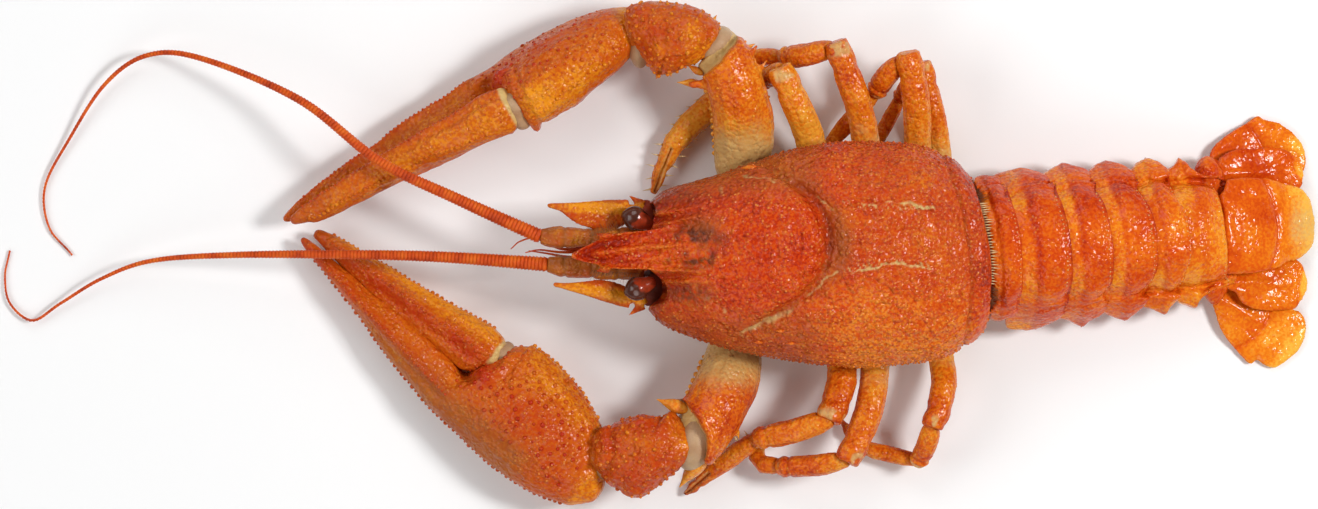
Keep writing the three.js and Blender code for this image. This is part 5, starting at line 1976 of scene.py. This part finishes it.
class CrayfishColours(bpy.types.PropertyGroup):
    red: colour_property("Red", "Red of the cooked shell", 186, 60, 28)
    # Amber also paints glints on the tops of the shell's domes
    amber: colour_property("Amber", "Yellow flecks and edges", 230, 158, 66)
    cream: colour_property("Cream", "Seams and the roots of the limbs", 206, 172, 108)
    ivory: colour_property("Ivory", "Comb behind the carapace", 238, 214, 166)
    brown: colour_property("Brown", "Dull parts of the shell", 146, 88, 38)
    # Umber also paints shade into grooves, troughs, pits and slits
    umber: colour_property("Umber", "Stains and creases", 92, 42, 26)
    ink: colour_property("Ink", "Eyeballs", 60, 27, 18)
    skin: colour_property("Skin", "Soft skin at the joints", 190, 164, 138)


class CrayfishRelief(bpy.types.PropertyGroup):
    body_net: length_property("Body net", "Mesh width of the carapace", 0.3)
    claw_net: length_property("Claw net", "Mesh width of the claws", 0.3)
    tail_net: length_property("Tail net", "Mesh width of the tail rings", 0.3)
    fan_net: length_property("Fan net", "Mesh width of the fan plates", 0.18)
    limb_net: length_property("Limb net", "Mesh width of the arms", 0.28)
    leg_net: length_property("Leg net", "Mesh width of the legs", 0.22)
    fan_root: length_property("Fan root", "How far the fan plates reach in under the last ring", 1.8)
    groove_depth: length_property("Groove depth", "Depth of the crease behind the head", 0.55)
    bead_spacing: length_property("Bead spacing", "Between the beads of a claw's edge", 0.95)
    edge_spacing: length_property("Edge spacing", "Between the small beads on a ring's rear edge", 0.8)
    edge_radius: length_property("Edge radius", "Size of the small beads on a ring's rear edge", 0.13)
    crest_spacing: length_property("Crest spacing", "Between the small beads on a finger's crest", 0.85)
    crest_radius: length_property("Crest radius", "Size of the small beads on a finger's crest", 0.24)
    bead_radius: length_property("Bead radius", "Size of the beads of a claw's edge", 0.35)
    whip_ring: length_property("Whip ring", "Length of one ring of a whip", 0.64)


class CrayfishStage(bpy.types.PropertyGroup):
    floor_colour: FloatVectorProperty(
        name="Floor", description="Colour of the floor", subtype="COLOR", size=3, default=(0.9, 0.9, 0.9)
    )
    floor_reach: length_property("Floor reach", "From the middle to the edge", 4000)
    key_power: FloatProperty(
        name="Key light", description="Light from behind the tail", unit="POWER", default=2.8
    )
    side_power: FloatProperty(
        name="Side lights", description="Each of the three soft lights", unit="POWER", default=1.25
    )
    sky_strength: FloatProperty(name="Sky", description="Even light all round", min=0, default=0.16)
    lens: FloatProperty(name="Lens", description="Focal length in millimetres", default=200)
    sensor: FloatProperty(name="Sensor", description="Sensor width in millimetres", default=36)
    frame_width: length_property("Frame width", "Width of the view at the focus height", 230.65)
    focus_height: length_property("Focus height", "Height that the frame width holds at", 10)


class CRAYFISH_PT_panel(bpy.types.Panel):
    """Lists the pieces and their settings"""

    bl_idname = "CRAYFISH_PT_panel"
    bl_label = "Crayfish"
    bl_space_type = "VIEW_3D"
    bl_region_type = "UI"
    bl_category = "Crayfish"

    def draw(self, context):
        for operator in OPERATORS:
            self.layout.operator(operator.bl_idname)
        scene = context.scene
        for group in (scene.crayfish_colours, scene.crayfish_relief, scene.crayfish_stage):
            for key in group.bl_rna.properties.keys():
                if key not in ("rna_type", "name"):
                    self.layout.prop(group, key)


OPERATORS = (
    CRAYFISH_OT_stage,
    CRAYFISH_OT_carapace,
    CRAYFISH_OT_underside,
    CRAYFISH_OT_eyes,
    CRAYFISH_OT_antennae,
    CRAYFISH_OT_tail,
    CRAYFISH_OT_fan,
    CRAYFISH_OT_claws,
    CRAYFISH_OT_arms,
    CRAYFISH_OT_legs,
    CRAYFISH_OT_bristles,
)
GROUPS = (CrayfishColours, CrayfishRelief, CrayfishStage)
look = None


def register():
    for cls in (*GROUPS, *OPERATORS, CRAYFISH_PT_panel):
        bpy.utils.register_class(cls)
    bpy.types.Scene.crayfish_colours = PointerProperty(type=CrayfishColours)
    bpy.types.Scene.crayfish_relief = PointerProperty(type=CrayfishRelief)
    bpy.types.Scene.crayfish_stage = PointerProperty(type=CrayfishStage)


def unregister():
    del bpy.types.Scene.crayfish_stage
    del bpy.types.Scene.crayfish_relief
    del bpy.types.Scene.crayfish_colours
    for cls in (CRAYFISH_PT_panel, *reversed(OPERATORS), *reversed(GROUPS)):
        bpy.utils.unregister_class(cls)


def main():
    global look
    register()
    look = Look()
    for operator in OPERATORS:
        name = operator.bl_idname.split(".")[1]
        getattr(bpy.ops.crayfish, name)()


if __name__ == "__main__":
    main()
